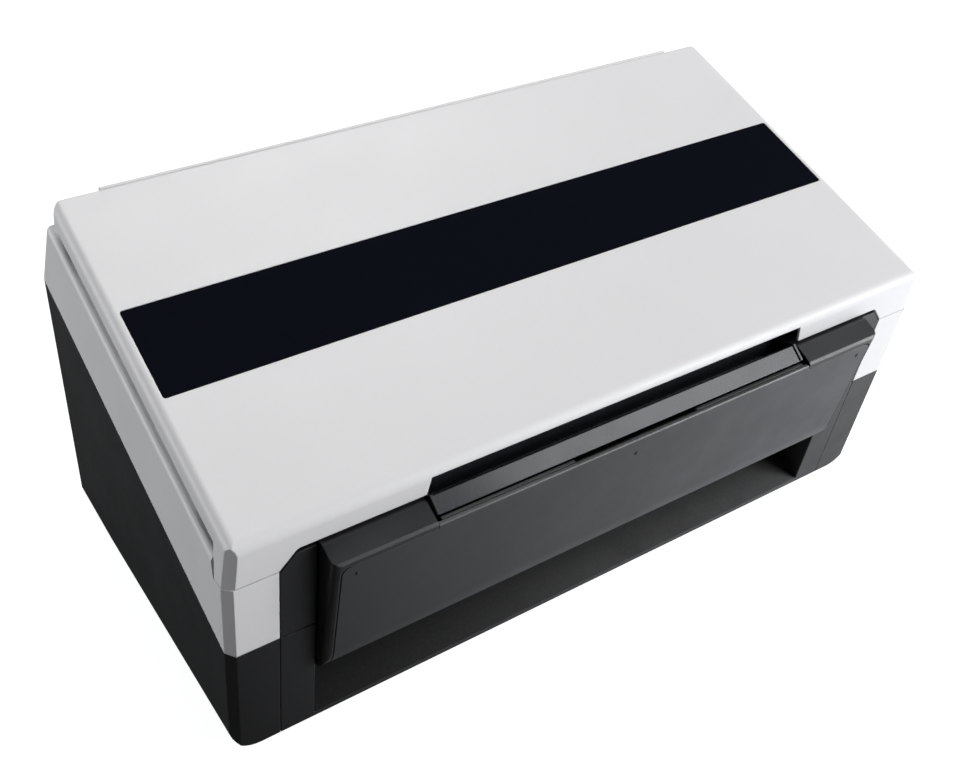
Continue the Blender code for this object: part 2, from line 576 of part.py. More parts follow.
# the ends of the finger notch are thinned from behind
for ends in ([(84.0, 99.0), (92.0, 99.0), (91.0, 107.2), (84.0, 107.2)], [(-88.4, 99.0), (-82.0, 99.0), (-82.0, 107.2), (-87.4, 107.2)]):
    cut(cover, sweep("notch_thin_tool", [[P(x, front_y(z) + off, z) for x, z in ends] for off in (1.0, 14.0)], None))
cut(cover, lid_prism("stripe_recess_tool", rounded([(-STRIPE_X - 0.2, STRIPE_S[0] - 0.2, 1.1), (STRIPE_X + 0.2, STRIPE_S[0] - 0.2, 1.1),
                                                    (STRIPE_X + 0.2, STRIPE_S[1] + 0.2, 1.1), (-STRIPE_X - 0.2, STRIPE_S[1] + 0.2, 1.1)], 3),
                     -1.1, 5))
for sx in (-1, 1):
    a, b = sorted((sx * 140.0, sx * 150.2))
    hy, hz = hinge_yz
    s0, d0 = HINGE
    block = [lid(LID_END - 2.0, -1.6), lid(LID_END - 2.0, -7.2)] + \
            [lid(s0 + 3.2 * math.cos(math.radians(t)), d0 + 3.2 * math.sin(math.radians(t))) for t in (-60, -90, -120, -150, -180)] + \
            [lid(s0 - 3.2, -1.6)]
    join(cover, prism_x("knuckle_tool", block, a, b))
    ea, eb = sorted((sx * 150.3, sx * 153.0))
    cut(cover, lid_prism("ear_room_tool", rect(ea, eb, 131.4, LID_END - 2.3), -4.0, -1.5))
    cut(cover, lid_prism("ear_notch_tool", rect(ea, eb, 134.5, LID_END + 2.0), -12.0, -2.35))
    ba, bb = sorted((sx * 142.8, sx * 152.0))
    cut(cover, lathe_x("knuckle_bore_tool", hinge_yz, [(ba, 1.33), (bb, 1.33)], None, 24))
tidy(cover, 30)
hinge_pt = P(0, *hinge_yz)
origin_at(cover, hinge_pt)

stripe = lid_prism("lid_stripe", rounded([(-STRIPE_X, STRIPE_S[0], 0.9), (STRIPE_X, STRIPE_S[0], 0.9),
                                          (STRIPE_X, STRIPE_S[1], 0.9), (-STRIPE_X, STRIPE_S[1], 0.9)], 3), -0.8, 0.0, STRIPE)
origin_at(stripe, hinge_pt)

# thin trim strip along the lid's rear edge, over the hinges
trim = prism_x("lid_rear_trim", [lid(138.25, -3.4), lid(139.9, -3.4), lid(139.9, -0.95), lid(139.5, -0.5), lid(138.6, -0.5), lid(138.25, -0.85)],
               -137.0, 137.0, WHITE)
origin_at(trim, hinge_pt)

# bed plate inside the lid: the paper lies on it when the lid is open
bed = lid_prism("tray_bed", rect(-150.1, 150.1, -8.0, 125.6), -7.8, -6.2, DARK)
SLOTS = (109.0, 121.0)       # along the slope, where the two guides' stems pass through
cut(bed, lid_prism("left_slot_tool", rect(-114.2, -30.0, SLOTS[0] - 1.8, SLOTS[0] + 1.8), -10, -4))
cut(bed, lid_prism("right_slot_tool", rect(30.0, 114.2, SLOTS[1] - 1.8, SLOTS[1] + 1.8), -10, -4))
tidy(bed)
origin_at(bed, hinge_pt)

# pull-out extension between the lid's skin and the bed plate
ext = lid_prism("tray_extension", rounded([(-60, -10.5, 4.0), (60, -10.5, 4.0), (60, 99.0, 0.0), (-60, 99.0, 0.0)], 3),
                -5.9, -4.3, CHASSIS)
cut(ext, lid_prism("ext_window_tool", rounded([(-44, 6, 3.0), (44, 6, 3.0), (44, 84, 3.0), (-44, 84, 3.0)], 2), -10, 0))
tidy(ext)
origin_at(ext, P(0, *lid(-10.5, -5.1)))

# paper guides with racks, and the pinion between them
PIN_R, PITCH = 5.0, math.pi          # module 1 rack: one tooth each pi mm; 10 tooth pinion
RACK_D = (-5.6, -3.0)


def rack(name, x0, x1, s_pitch, side, phase, back):
    """Straight toothed bar. side is +1 when its teeth point towards larger s."""
    pts = []
    count = int((x1 - x0) / PITCH)
    start = x0 + ((phase - x0) % PITCH)
    tips = []
    k = 0
    while start + k * PITCH + 1.6 < x1:
        tips.append(start + k * PITCH)
        k += 1
    add, ded, half = 0.95, 1.25, PITCH / 4 - 0.09
    tan20 = math.tan(math.radians(20))
    for c in tips:
        if c - 1.6 < x0:
            continue
        pts += [(c - half - ded * tan20, s_pitch - side * ded), (c - half + add * tan20, s_pitch + side * add),
                (c + half - add * tan20, s_pitch + side * add), (c + half + ded * tan20, s_pitch - side * ded)]
    s_back = s_pitch - side * back
    pts = [(x0, s_back), (x0, s_pitch - side * ded)] + pts + [(x1, s_pitch - side * ded), (x1, s_back)]
    return lid_prism(name, pts, RACK_D[0], RACK_D[1])


MESH_S = 115.0
# left guide: rack on the front side of the pinion
left = lid_prism("left_paper_guide", rect(-112.6, -110.0, 97.0, 117.0), -12.4, -8.3, DARK)
join(left, lid_prism("guide_pad_tool", rect(-112.8, -96.0, 96.8, 117.2), -9.4, -8.1))
join(left, lid_prism("guide_stem_tool", rect(-112.2, -104.0, SLOTS[0] - 1.3, SLOTS[0] + 1.3), -8.6, -4.0))
join(left, rack("rack_tool", -113.0, 16.0, MESH_S - PIN_R, 1, 0.0, 3.6))
tidy(left)
origin_at(left, P(-110.0, *lid(MESH_S, -8.1)))
right = lid_prism("right_paper_guide", rect(110.0, 112.6, 97.0, 117.0), -12.4, -8.3, DARK)
join(right, lid_prism("guide_pad_tool", rect(96.0, 112.8, 96.8, 123.6), -9.4, -8.1))
join(right, lid_prism("guide_stem_tool", rect(104.0, 112.2, SLOTS[1] - 1.3, SLOTS[1] + 1.3), -8.6, -4.0))
join(right, rack("rack_tool", -16.0, 113.0, MESH_S + PIN_R, -1, 0.0, 3.6))
tidy(right)
origin_at(right, P(110.0, *lid(MESH_S, -8.1)))


def pinion(name, x, s, teeth, d0, d1, mat):
    """Small spur gear, module 1, with involute flanks worked out from the base circle."""
    r = teeth / 2.0
    base = r * math.cos(math.radians(20))
    inv20 = math.tan(math.radians(20)) - math.radians(20)
    half = math.pi / (2 * teeth) - 0.09 / r
    pts = []
    for i in range(teeth):
        mid = 2 * math.pi * i / teeth + math.pi / 2 + math.pi / teeth
        flank = []
        for rad in (base + 0.02, r, r + 0.5, r + 0.9):
            a = math.acos(min(1.0, base / rad))
            flank.append((rad, half + inv20 - (math.tan(a) - a)))
        pts.append((r - 1.25, mid - half - inv20 - 0.02))
        pts += [(rad, mid - w) for rad, w in flank]
        pts += [(rad, mid + w) for rad, w in reversed(flank)]
        pts.append((r - 1.25, mid + half + inv20 + 0.02))
    outline = [(x + rad * math.cos(a), s + rad * math.sin(a)) for rad, a in pts]
    return lid_prism(name, outline, d0, d1, mat)


gear = pinion("guide_pinion", 0.0, MESH_S, 10, RACK_D[0], RACK_D[1], BUTTON)
origin_at(gear, P(0.0, *lid(MESH_S, -4.3)))

# ================================================================ feeder door
py, pz = DOOR_PIVOT
up_line = [along(*LO, PATH[1], 0, -2.1), along(*LO, PATH[2], 0, -2.1)]
low_turn = up_line[1]
# end of the turned back on the paper line
d = (Vector(up_line[0]) - Vector(up_line[1])).normalized()
v = Vector(low_turn) - Vector(DOOR_PIVOT)
bq = v.dot(d)
t_end = -bq + math.sqrt(bq * bq - v.dot(v) + DOOR_R * DOOR_R)
arc_end = Vector(low_turn) + d * t_end
a_end = math.degrees(math.atan2(arc_end.y - pz, arc_end.x - py))
a_start = math.degrees(math.atan2(99.2 - pz, -14.3 - py))
back = arc(py, pz, DOOR_R, a_end, a_start, 9)
bend = [(BEND_T + BEND_R * math.sin(math.radians(a)), BEND_R * (1 - math.cos(math.radians(a)))) for a in (30, 22.5, 15, 7.5, 0)]
foot = [face(*p) for p in reversed(bend)]
door_pts = foot + [(-6.6, 32.2), (3.0, 31.6), (20.0, 33.6), tuple(low_turn)] + back + [(-18.2, 99.1), (-24.9, 95.66), face(0.75, 0)]
shell = prism_x("door_shell", door_pts, -DOOR_X, DOOR_X, DARK)
# rounded front corners of the door
round_sec = rounded([(-DOOR_X - 0.1, 0, 3.3), (DOOR_X + 0.1, 0, 3.3), (DOOR_X + 0.1, 130, 0), (-DOOR_X - 0.1, 130, 0)], 5)
keep(shell, sweep("door_round_tool", [[P(x, *face(t, k)) for x, k in round_sec] for t in (-40, 100)], None))
# recess for the tray, open at the bottom
cut(shell, face_prism("tray_recess_tool", rounded([(-122.4, 2.3, 3.4), (122.4, 2.3, 3.4), (122.4, 90, 0), (-122.4, 90, 0)], 3), -6, 7.0))
cut(shell, face_prism("barrel_recess_tool", rect(-122.4, 122.4, 50.5, 90), -6.2, 9.0))
# hollow behind the recess wall, open to the paper side
ring = arc(py, pz, DOOR_R - 2.4, a_end - 12, a_start - 4.5, 8)
inner_door = [face(47.5, 9.2), face(50.0, 11.2), face(62.6, 11.2), (6.0, 36.2), (40.0, 34.0), (70.0, 66.0)] + ring[1:] + [face(1.2, 9.2)]
cut(shell, prism_x("door_hollow_tool", inner_door, -122.4, 122.4))
# gap in the shoulders for the finger grip
cut(shell, face_prism("grip_gap_tool", rect(-SHOULDER_X, SHOULDER_X, -20, 6.0), -6.1, 7.08))
cut(shell, prism_x("grip_bed_tool", [(-30.0, 88.64), (-12.0, 100.93), (-12.0, 120.0), (-40.0, 120.0), (-40.0, 88.64)],
                   -SHOULDER_X, SHOULDER_X))
cut(shell, prism_x("grip_pocket_tool", [(-17.0, 104.0), (-16.6, 98.4), (-15.2, 91.0), (-7.0, 91.0), (-6.8, 104.0)], -85.7, 85.7))
for sx in (-1, 1):
    a, b = sorted((sx * 115, sx * 130))
    cut(shell, lathe_x("pivot_hole_tool", DOOR_PIVOT, [(a, 2.2), (b, 2.2)], None, 24))
    cut(shell, lathe_x("idler_hole_tool", IDLER_SHAFT, [(a, 1.6), (b, 1.6)], None, 24))
    cut(shell, lathe_x("tray_hole_tool", face(*TRAY_PIVOT), [(a, 1.15), (sx * 0 + b, 1.15)], None, 16))
tidy(shell, 20)
door_pt = P(0, *DOOR_PIVOT)
origin_at(shell, door_pt)

# glossy finger recess: a sloping strip, a pocket behind it and a thin rib at each end
grip_line = [(-22.43, 95.72), (-17.4, 100.1), (-16.4, 99.9), (-14.3, 92.9), (-9.2, 92.9), (-8.5, 100.1), (-7.3, 100.0), (-8.0, 91.7),
             (-15.1, 91.7), (-16.2, 98.2), (-17.0, 98.3), (-21.3, 95.05)]
grip = prism_x("door_grip", grip_line, -84.2, 84.2, GLOSS)
for sx in (-1, 1):
    a, b = sorted((sx * 83.9, sx * 84.9))
    join(grip, prism_x("rib_tool", [(-22.75, 96.2), (-17.5, 100.75), (-16.2, 100.4), (-14.0, 99.6), (-8.7, 99.7), (-8.2, 91.8), (-15.0, 91.8),
                                    (-16.15, 98.15), (-17.05, 98.35), (-21.3, 95.1)], a, b))
tidy(grip)
origin_at(grip, door_pt)

# paper side of the door: guide plate, scan module with its glass, idler roller
SCAN_UP = (47.0, 58.2)
p_hi = along(*LO, (52.0, 64.5), 0, -2.6)
p_hi_in = along(*LO, (52.0, 64.5), 0, -4.4)
p_lo = along(*LO, (33.0, 40.75), 0, -2.6)
p_lo_in = along(*LO, (33.0, 40.75), 0, -4.4)
dg = prism_x("door_paper_guide", [p_hi, p_lo, (20.6, 36.4), (8.0, 36.4), (8.0, 38.2), (19.9, 38.2), p_lo_in, p_hi_in],
             -122.1, 122.1, CHASSIS)
cut(dg, slab("upper_window_tool", SCAN_UP, 6.4, -8, 0, -112.4, 112.4))
for sx in (-1, 1):
    a, b = sorted((sx * 28.5, sx * 51.5))
    cut(dg, slab("idler_window_tool", (36.0, 44.5), 6.4, -8, 4, a, b))
tidy(dg)
origin_at(dg, door_pt)
origin_at(slab("upper_scan_glass", SCAN_UP, 6.0, -4.2, -2.6, -112.0, 112.0, GLASS), door_pt)
um = slab("upper_scan_module", SCAN_UP, 7.6, -17.0, -4.9, -115.0, 115.0, CHASSIS)
cut(um, slab("um_hollow_tool", SCAN_UP, 5.4, -13.5, -4.0, -112.5, 112.5))
tidy(um)
origin_at(um, door_pt)
idler = lathe_x("exit_idler_roller", IDLER_SHAFT,
                [(-124.8, IDLER_PIN_R), (-50.0, IDLER_PIN_R), (-50.0, IDLER_R), (-30.0, IDLER_R), (-30.0, IDLER_PIN_R),
                 (30.0, IDLER_PIN_R), (30.0, IDLER_R), (50.0, IDLER_R), (50.0, IDLER_PIN_R), (124.8, IDLER_PIN_R)], RUBBER, 20)
origin_at(idler, P(0, *IDLER_SHAFT))

# ================================================================ output tray on the door's face
tk = TRAY_PIVOT[0]
kk = TRAY_PIVOT[1]
tray_sec = [(0.9, 0.45), (1.35, 0.0), (BEND_T, 0.0)] + \
           [(BEND_T + BEND_R * math.sin(math.radians(a)), BEND_R * (1 - math.cos(math.radians(a)))) for a in (4.5, 9, 13.5, 18, 22.5)] + \
           [(tk + 3.2 * math.sin(math.radians(a)), kk - 3.2 * math.cos(math.radians(a))) for a in (27, 45, 67.5, 90, 120, 150, 180, 225)] + \
           [(50.8, 1.6), (0.9, 1.6)]
tray = prism_x("output_tray", [face(t, k) for t, k in tray_sec], -TRAY_X, TRAY_X, DARK)
for sx in (-1, 1):
    lim = sorted((sx * SHOULDER_X, sx * 130))
    cut(tray, face_prism("tray_top_tool", rounded([(sx * (SHOULDER_X - 0.3), -5, 0), (sx * 130, -5, 0), (sx * 130, 2.8, 0),
                                                   (sx * (SHOULDER_X - 0.3), 2.8, 0)], 1), -3, 4))
    # rounded upper corner of the panel
    c = [(sx * (TRAY_X + 2), 1.0), (sx * (TRAY_X - 3.2), 1.0), (sx * (TRAY_X - 3.2), 2.8)]
    c += [(sx * (TRAY_X - 3.2 + 3.2 * math.sin(math.radians(a))), 6.0 - 3.2 * math.cos(math.radians(a))) for a in (30, 60, 90)]
    c += [(sx * (TRAY_X + 2), 6.0)]
    cut(tray, face_prism("tray_corner_tool", c, -3, 4))
    a, b = sorted((sx * 84.9, sx * 86.9))
    join(tray, face_prism("rail_tool", rect(a, b, 5.0, 48.0), 1.2, 4.6))
    a, b = sorted((sx * 112, sx * 130))
    cut(tray, lathe_x("tray_bore_tool", face(*TRAY_PIVOT), [(a, 1.15), (b, 1.15)], None, 16))
tidy(tray, 20)
tray_pt = P(0, *face(*TRAY_PIVOT))
origin_at(tray, tray_pt)
for tag, sx in (("left", -1), ("right", 1)):
    a, b = sorted((sx * 113.0, sx * 125.0))
    pin = lathe_x("tray_pivot_pin_" + tag, face(*TRAY_PIVOT), [(a, 1.0), (b, 1.0)], STEEL, 16)
    origin_at(pin, tray_pt)

# pull-out extension behind the tray's panel, with a shallow finger cut-out in its edge
te = face_prism("output_tray_extension", [(-84.0, 0.9), (-28.6, 0.9), (-27.2, 2.3), (27.2, 2.3), (28.6, 0.9), (84.0, 0.9),
                                          (84.0, 45.0), (-84.0, 45.0)], 1.85, 3.05, DARK)
origin_at(te, P(0, *face(0.9, 2.45)))

# ================================================================ rollers, motor, belt
LEFT_END = -139.5


def shaft(name, centre, r, x0, x1):
    ob = lathe_x(name, centre, [(x0, r), (x1, r)], STEEL, 24)
    return origin_at(ob, P(0, *centre))


def tube(name, centre, r, bore, x0, x1, mat, n=28):
    y, z = centre
    bm = bmesh.new()
    rows = []
    for x, rad in ((x0, r), (x1, r), (x1, bore), (x0, bore)):
        rows.append([bm.verts.new(P(x, y + rad * math.cos(2 * math.pi * i / n), z + rad * math.sin(2 * math.pi * i / n)))
                     for i in range(n)])
    for a, b in zip(rows, rows[1:] + rows[:1]):
        for i in range(n):
            bm.faces.new((a[i], a[(i + 1) % n], b[(i + 1) % n], b[i]))
    ob = finish(name, bm, mat, 40)
    return origin_at(ob, P(0, *centre))


shaft("feed_shaft", FEED_SHAFT, 3.0, LEFT_END, 128.9)
tube("feed_roller", FEED_SHAFT, FEED_R, 3.15, -19.0, 19.0, RUBBER)
tube("feed_pulley", FEED_SHAFT, PULLEY_R, 3.15, BELT_X0, BELT_X1, BUTTON)
shaft("exit_shaft", EXIT_SHAFT, 3.0, LEFT_END, 128.9)
tube("exit_roller_left", EXIT_SHAFT, EXIT_R, 3.15, -50.0, -30.0, RUBBER)
tube("exit_roller_right", EXIT_SHAFT, EXIT_R, 3.15, 30.0, 50.0, RUBBER)
tube("exit_pulley", EXIT_SHAFT, PULLEY_R, 3.15, BELT_X0, BELT_X1, BUTTON)
shaft("reverse_shaft", REVERSE_SHAFT, 2.5, -128.9, 128.9)
tube("reverse_roller", REVERSE_SHAFT, REVERSE_R, 2.65, -15.0, 15.0, RUBBER)
mp = lathe_x("motor_pulley", MOTOR_SHAFT, [(BELT_X0, MOTOR_PULLEY_R), (BELT_X1, MOTOR_PULLEY_R), (BELT_X1, 1.6), (-126.2, 1.6)],
             STEEL, 24)
origin_at(mp, P(0, *MOTOR_SHAFT))
motor = lathe_x("drive_motor", MOTOR_SHAFT, [(-126.0, 18.0), (-124.0, 18.0), (-124.0, 17.0), (-92.0, 17.0), (-90.0, 15.5)], STEEL, 28)


def belt_outline(circles, extra):
    """Tight loop round circles (y, z, r), each grown by extra, as the outline of their hull."""
    pts = []
    for y, z, r in circles:
        pts += [(y + (r + extra) * math.cos(2 * math.pi * i / 32), z + (r + extra) * math.sin(2 * math.pi * i / 32)) for i in range(32)]
    pts.sort()

    def half(seq):
        out = []
        for p in seq:
            while len(out) > 1 and (out[-1][0] - out[-2][0]) * (p[1] - out[-2][1]) - (out[-1][1] - out[-2][1]) * (p[0] - out[-2][0]) <= 1e-9:
                out.pop()
            out.append(p)
        return out[:-1]
    return half(pts) + half(reversed(pts))


circles = [(*FEED_SHAFT, PULLEY_R), (*EXIT_SHAFT, PULLEY_R), (*MOTOR_SHAFT, MOTOR_PULLEY_R)]
belt = prism_x("drive_belt", belt_outline(circles, 1.6), BELT_X0 + 0.6, BELT_X1 - 0.6, RUBBER)
cut(belt, prism_x("belt_core_tool", belt_outline(circles, 0.35), BELT_X0 - 2, BELT_X1 + 2))
tidy(belt, 40)

# ================================================================ electronics
box("main_board", -20.0, 122.0, 100.0, 158.0, 8.0, 9.6, BOARD)


def rear_y_at(z, inset):
    return REAR_FOOT[0] + (REAR_SEAM[0] - REAR_FOOT[0]) * z / REAR_SEAM[1] - inset


jack = prism_x("rear_jack_panel", [(rear_y_at(8.3, 2.4), 8.3), (rear_y_at(8.3, 0.1), 8.3), (rear_y_at(29.7, 0.1), 29.7),
                                   (rear_y_at(29.7, 2.4), 29.7)], 38.3, 103.7, GLOSS)
cut(jack, box("usb_hole_tool", 47.6, 60.4, 150, 190, 11.6, 23.4))
cut(jack, box("power_hole_tool", 82.6, 93.4, 150, 190, 10.6, 22.4))
tidy(jack)
usb = box("usb_socket", 48.0, 60.0, 155.0, 171.3, 12.0, 23.0, STEEL)
cut(usb, box("usb_mouth_tool", 49.6, 58.4, 162, 190, 13.6, 21.4))
tidy(usb)
power = box("power_socket", 83.0, 93.0, 155.0, 171.3, 11.0, 22.0, BLACK)
cut(power, prism_y("power_mouth_tool", arc(88.0, 16.5, 3.2, 0, 337.5, 15), 160, 190))
tidy(power)
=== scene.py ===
"""Looks for the sheet fed document scanner: materials, fine visible pieces, floor, soft studio light, camera.

Every length below is in millimetres in the casing's own working frame (y = 0 at the casing's front bottom
edge, z = 0 at its underside), and P() turns it into the model's frame in metres.
"""

import json
import math
import random

import bmesh
import bpy
from mathutils import Matrix, Vector

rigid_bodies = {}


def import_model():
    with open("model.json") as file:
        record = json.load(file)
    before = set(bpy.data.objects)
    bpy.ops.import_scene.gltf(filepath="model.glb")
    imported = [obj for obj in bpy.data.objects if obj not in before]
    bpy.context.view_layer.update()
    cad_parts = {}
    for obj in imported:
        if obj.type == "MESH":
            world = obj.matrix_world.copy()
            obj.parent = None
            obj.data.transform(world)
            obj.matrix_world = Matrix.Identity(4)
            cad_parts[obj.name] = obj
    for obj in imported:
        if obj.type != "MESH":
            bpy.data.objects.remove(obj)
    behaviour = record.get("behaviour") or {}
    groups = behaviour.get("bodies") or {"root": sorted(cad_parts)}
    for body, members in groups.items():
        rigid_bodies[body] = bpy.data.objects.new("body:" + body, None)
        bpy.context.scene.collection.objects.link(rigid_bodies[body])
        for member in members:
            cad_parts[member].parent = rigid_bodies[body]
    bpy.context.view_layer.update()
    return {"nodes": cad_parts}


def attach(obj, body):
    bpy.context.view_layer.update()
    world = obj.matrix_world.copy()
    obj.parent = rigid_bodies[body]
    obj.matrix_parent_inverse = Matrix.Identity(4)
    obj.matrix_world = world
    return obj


for old in list(bpy.data.objects):
    bpy.data.objects.remove(old, do_unlink=True)

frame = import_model()
nodes = frame["nodes"]
random.seed(7)

MM = 0.001
FOOT_H, Y_MID = 1.5, 74.10
LID_Z0, LID_TAN = 117.39, 0.3747
LID_TH = math.atan(LID_TAN)
CT, ST = math.cos(LID_TH), math.sin(LID_TH)
FRONT_LEAN = 0.16131
FACE_LEAN = math.radians(13.0)
SN, CS = math.sin(FACE_LEAN), math.cos(FACE_LEAN)
FACE_TOP = (-25.8, 95.2)


def P(x, y, z):
    return Vector((x, y - Y_MID, z + FOOT_H)) * MM


def lid(s, d):
    return (s * CT - d * ST, LID_Z0 + s * ST + d * CT)


def face(t, k):
    return (FACE_TOP[0] + t * SN + k * CS, FACE_TOP[1] - t * CS + k * SN)


def front_y(z):
    return -FRONT_LEAN * z


# ------------------------------------------------------------------ materials
def srgb(r, g, b):
    def lin(c):
        c /= 255.0
        return c / 12.92 if c <= 0.04045 else ((c + 0.055) / 1.055) ** 2.4
    return (lin(r), lin(g), lin(b), 1.0)


def node(nt, kind, **values):
    n = nt.nodes.new(kind)
    for k, v in values.items():
        if k in n.inputs:
            n.inputs[k].default_value = v
        else:
            setattr(n, k, v)
    return n


def plastic(name, color, rough=0.45, grain=2600.0, grain_depth=0.012, mottle=0.03, edge=0.0, edge_r=0.5,
            spec=0.5, coat=0.0, rough_var=0.06, dust=0.0, metallic=0.0, big_bump=0.0):
    """Moulded plastic: spark-eroded grain, slow colour and gloss drift, softened edges with a painted highlight (colour
    lightened along them in patches).
    """
    m = bpy.data.materials.new(name)
    m.use_nodes = True
    nt = m.node_tree
    b = nt.nodes["Principled BSDF"]
    b.inputs["Metallic"].default_value = metallic
    b.inputs["Specular IOR Level"].default_value = spec
    b.inputs["Coat Weight"].default_value = coat
    b.inputs["Coat Roughness"].default_value = 0.12
    tc = node(nt, "ShaderNodeTexCoord")
    # slow drift of colour over the moulding
    slow = node(nt, "ShaderNodeTexNoise", Scale=14.0, Detail=4.0, Roughness=0.6)
    nt.links.new(tc.outputs["Object"], slow.inputs["Vector"])
    drift = node(nt, "ShaderNodeMapRange")
    drift.inputs["From Min"].default_value = 0.3
    drift.inputs["From Max"].default_value = 0.7
    drift.inputs["To Min"].default_value = 1.0 - mottle
    drift.inputs["To Max"].default_value = 1.0 + mottle
    nt.links.new(slow.outputs["Fac"], drift.inputs["Value"])
    fine = node(nt, "ShaderNodeTexNoise", Scale=grain, Detail=2.0, Roughness=0.55)
    nt.links.new(tc.outputs["Object"], fine.inputs["Vector"])
    speck = node(nt, "ShaderNodeMapRange")
    speck.inputs["From Min"].default_value = 0.35
    speck.inputs["From Max"].default_value = 0.65
    speck.inputs["To Min"].default_value = 1.0 - mottle * 1.4
    speck.inputs["To Max"].default_value = 1.0 + mottle * 1.4
    nt.links.new(fine.outputs["Fac"], speck.inputs["Value"])
    mul = node(nt, "ShaderNodeMath", operation="MULTIPLY")
    nt.links.new(drift.outputs["Result"], mul.inputs[0])
    nt.links.new(speck.outputs["Result"], mul.inputs[1])
    tint = node(nt, "ShaderNodeVectorMath", operation="SCALE")
    tint.inputs[0].default_value = color[:3]
    nt.links.new(mul.outputs[0], tint.inputs["Scale"])
    # edges: rounded normal, and a mask where it departs from the true one; the mask, broken into patches, lightens the
    # colour there as a painted highlight
    bev = node(nt, "ShaderNodeBevel", samples=4)
    bev.inputs["Radius"].default_value = edge_r * MM
    geo = node(nt, "ShaderNodeNewGeometry")
    dot = node(nt, "ShaderNodeVectorMath", operation="DOT_PRODUCT")
    nt.links.new(bev.outputs["Normal"], dot.inputs[0])
    nt.links.new(geo.outputs["Normal"], dot.inputs[1])
    mask = node(nt, "ShaderNodeMapRange")
    mask.inputs["From Min"].default_value = 0.995
    mask.inputs["From Max"].default_value = 0.75
    mask.inputs["To Min"].default_value = 0.0
    mask.inputs["To Max"].default_value = 1.0
    nt.links.new(dot.outputs["Value"], mask.inputs["Value"])
    patch = node(nt, "ShaderNodeTexNoise", Scale=160.0, Detail=3.0)
    nt.links.new(tc.outputs["Object"], patch.inputs["Vector"])
    patch_r = node(nt, "ShaderNodeMapRange")
    patch_r.inputs["From Min"].default_value = 0.42
    patch_r.inputs["From Max"].default_value = 0.62
    nt.links.new(patch.outputs["Fac"], patch_r.inputs["Value"])
    painted_edge_highlight = node(nt, "ShaderNodeMath", operation="MULTIPLY")
    nt.links.new(mask.outputs["Result"], painted_edge_highlight.inputs[0])
    nt.links.new(patch_r.outputs["Result"], painted_edge_highlight.inputs[1])
    amount = node(nt, "ShaderNodeMath", operation="MULTIPLY")
    amount.inputs[1].default_value = edge
    nt.links.new(painted_edge_highlight.outputs[0], amount.inputs[0])
    # painted highlight: the colour is mixed towards a lighter tint along the edges
    mix = node(nt, "ShaderNodeMix", data_type="RGBA")
    highlight_tint = [min(1.0, c * 1.6 + 0.05) for c in color[:3]] + [1.0]
    mix.inputs["B"].default_value = highlight_tint
    nt.links.new(amount.outputs[0], mix.inputs["Factor"])
    nt.links.new(tint.outputs["Vector"], mix.inputs["A"])
    nt.links.new(mix.outputs["Result"], b.inputs["Base Color"])
    # gloss drift
    rough_n = node(nt, "ShaderNodeTexNoise", Scale=38.0, Detail=5.0, Roughness=0.65)
    nt.links.new(tc.outputs["Object"], rough_n.inputs["Vector"])
    rr = node(nt, "ShaderNodeMapRange")
    rr.inputs["From Min"].default_value = 0.3
    rr.inputs["From Max"].default_value = 0.7
    rr.inputs["To Min"].default_value = max(0.02, rough - rough_var)
    rr.inputs["To Max"].default_value = min(1.0, rough + rough_var)
    nt.links.new(rough_n.outputs["Fac"], rr.inputs["Value"])
    nt.links.new(rr.outputs["Result"], b.inputs["Roughness"])
    # grain
    bump = node(nt, "ShaderNodeBump", Strength=0.5)
    bump.inputs["Distance"].default_value = grain_depth * MM
    nt.links.new(fine.outputs["Fac"], bump.inputs["Height"])
    nt.links.new(bev.outputs["Normal"], bump.inputs["Normal"])
    last = bump
    if big_bump:
        wav = node(nt, "ShaderNodeTexNoise", Scale=60.0, Detail=2.0)
        nt.links.new(tc.outputs["Object"], wav.inputs["Vector"])
        bump2 = node(nt, "ShaderNodeBump", Strength=0.4)
        bump2.inputs["Distance"].default_value = big_bump * MM
        nt.links.new(wav.outputs["Fac"], bump2.inputs["Height"])
        nt.links.new(bump.outputs["Normal"], bump2.inputs["Normal"])
        last = bump2
    nt.links.new(last.outputs["Normal"], b.inputs["Normal"])
    return m


def metal(name, color, rough=0.28, brush=(1.0, 1.0, 1.0), depth=0.004, edge_r=0.25):
    """Turned or rolled metal with fine scratches along one direction."""
    m = plastic(name, color, rough=rough, grain=900.0, grain_depth=depth, mottle=0.05, edge=0.25, edge_r=edge_r,
                rough_var=0.08, metallic=1.0)
    nt = m.node_tree
    tc = next(n for n in nt.nodes if n.type == "TEX_COORD")
    mp = node(nt, "ShaderNodeMapping")
    mp.inputs["Scale"].default_value = brush
    nt.links.new(tc.outputs["Object"], mp.inputs["Vector"])
    fine = next(n for n in nt.nodes if n.type == "TEX_NOISE" and abs(n.inputs["Scale"].default_value - 900.0) < 1)
    nt.links.new(mp.outputs["Vector"], fine.inputs["Vector"])
    return m


def glass_mat(name, tint=(0.75, 0.85, 0.84, 1.0), rough=0.04, dark=(0.02, 0.03, 0.035)):
    """Coated glass over a dark cavity: mostly reflection with faint smears; the tint argument is not used."""
    m = plastic(name, (*dark, 1.0), rough=rough + 0.04, grain=240.0, grain_depth=0.0005, mottle=0.02, edge=0.0, edge_r=0.3,
                spec=0.8, coat=1.0, rough_var=0.03)
    return m


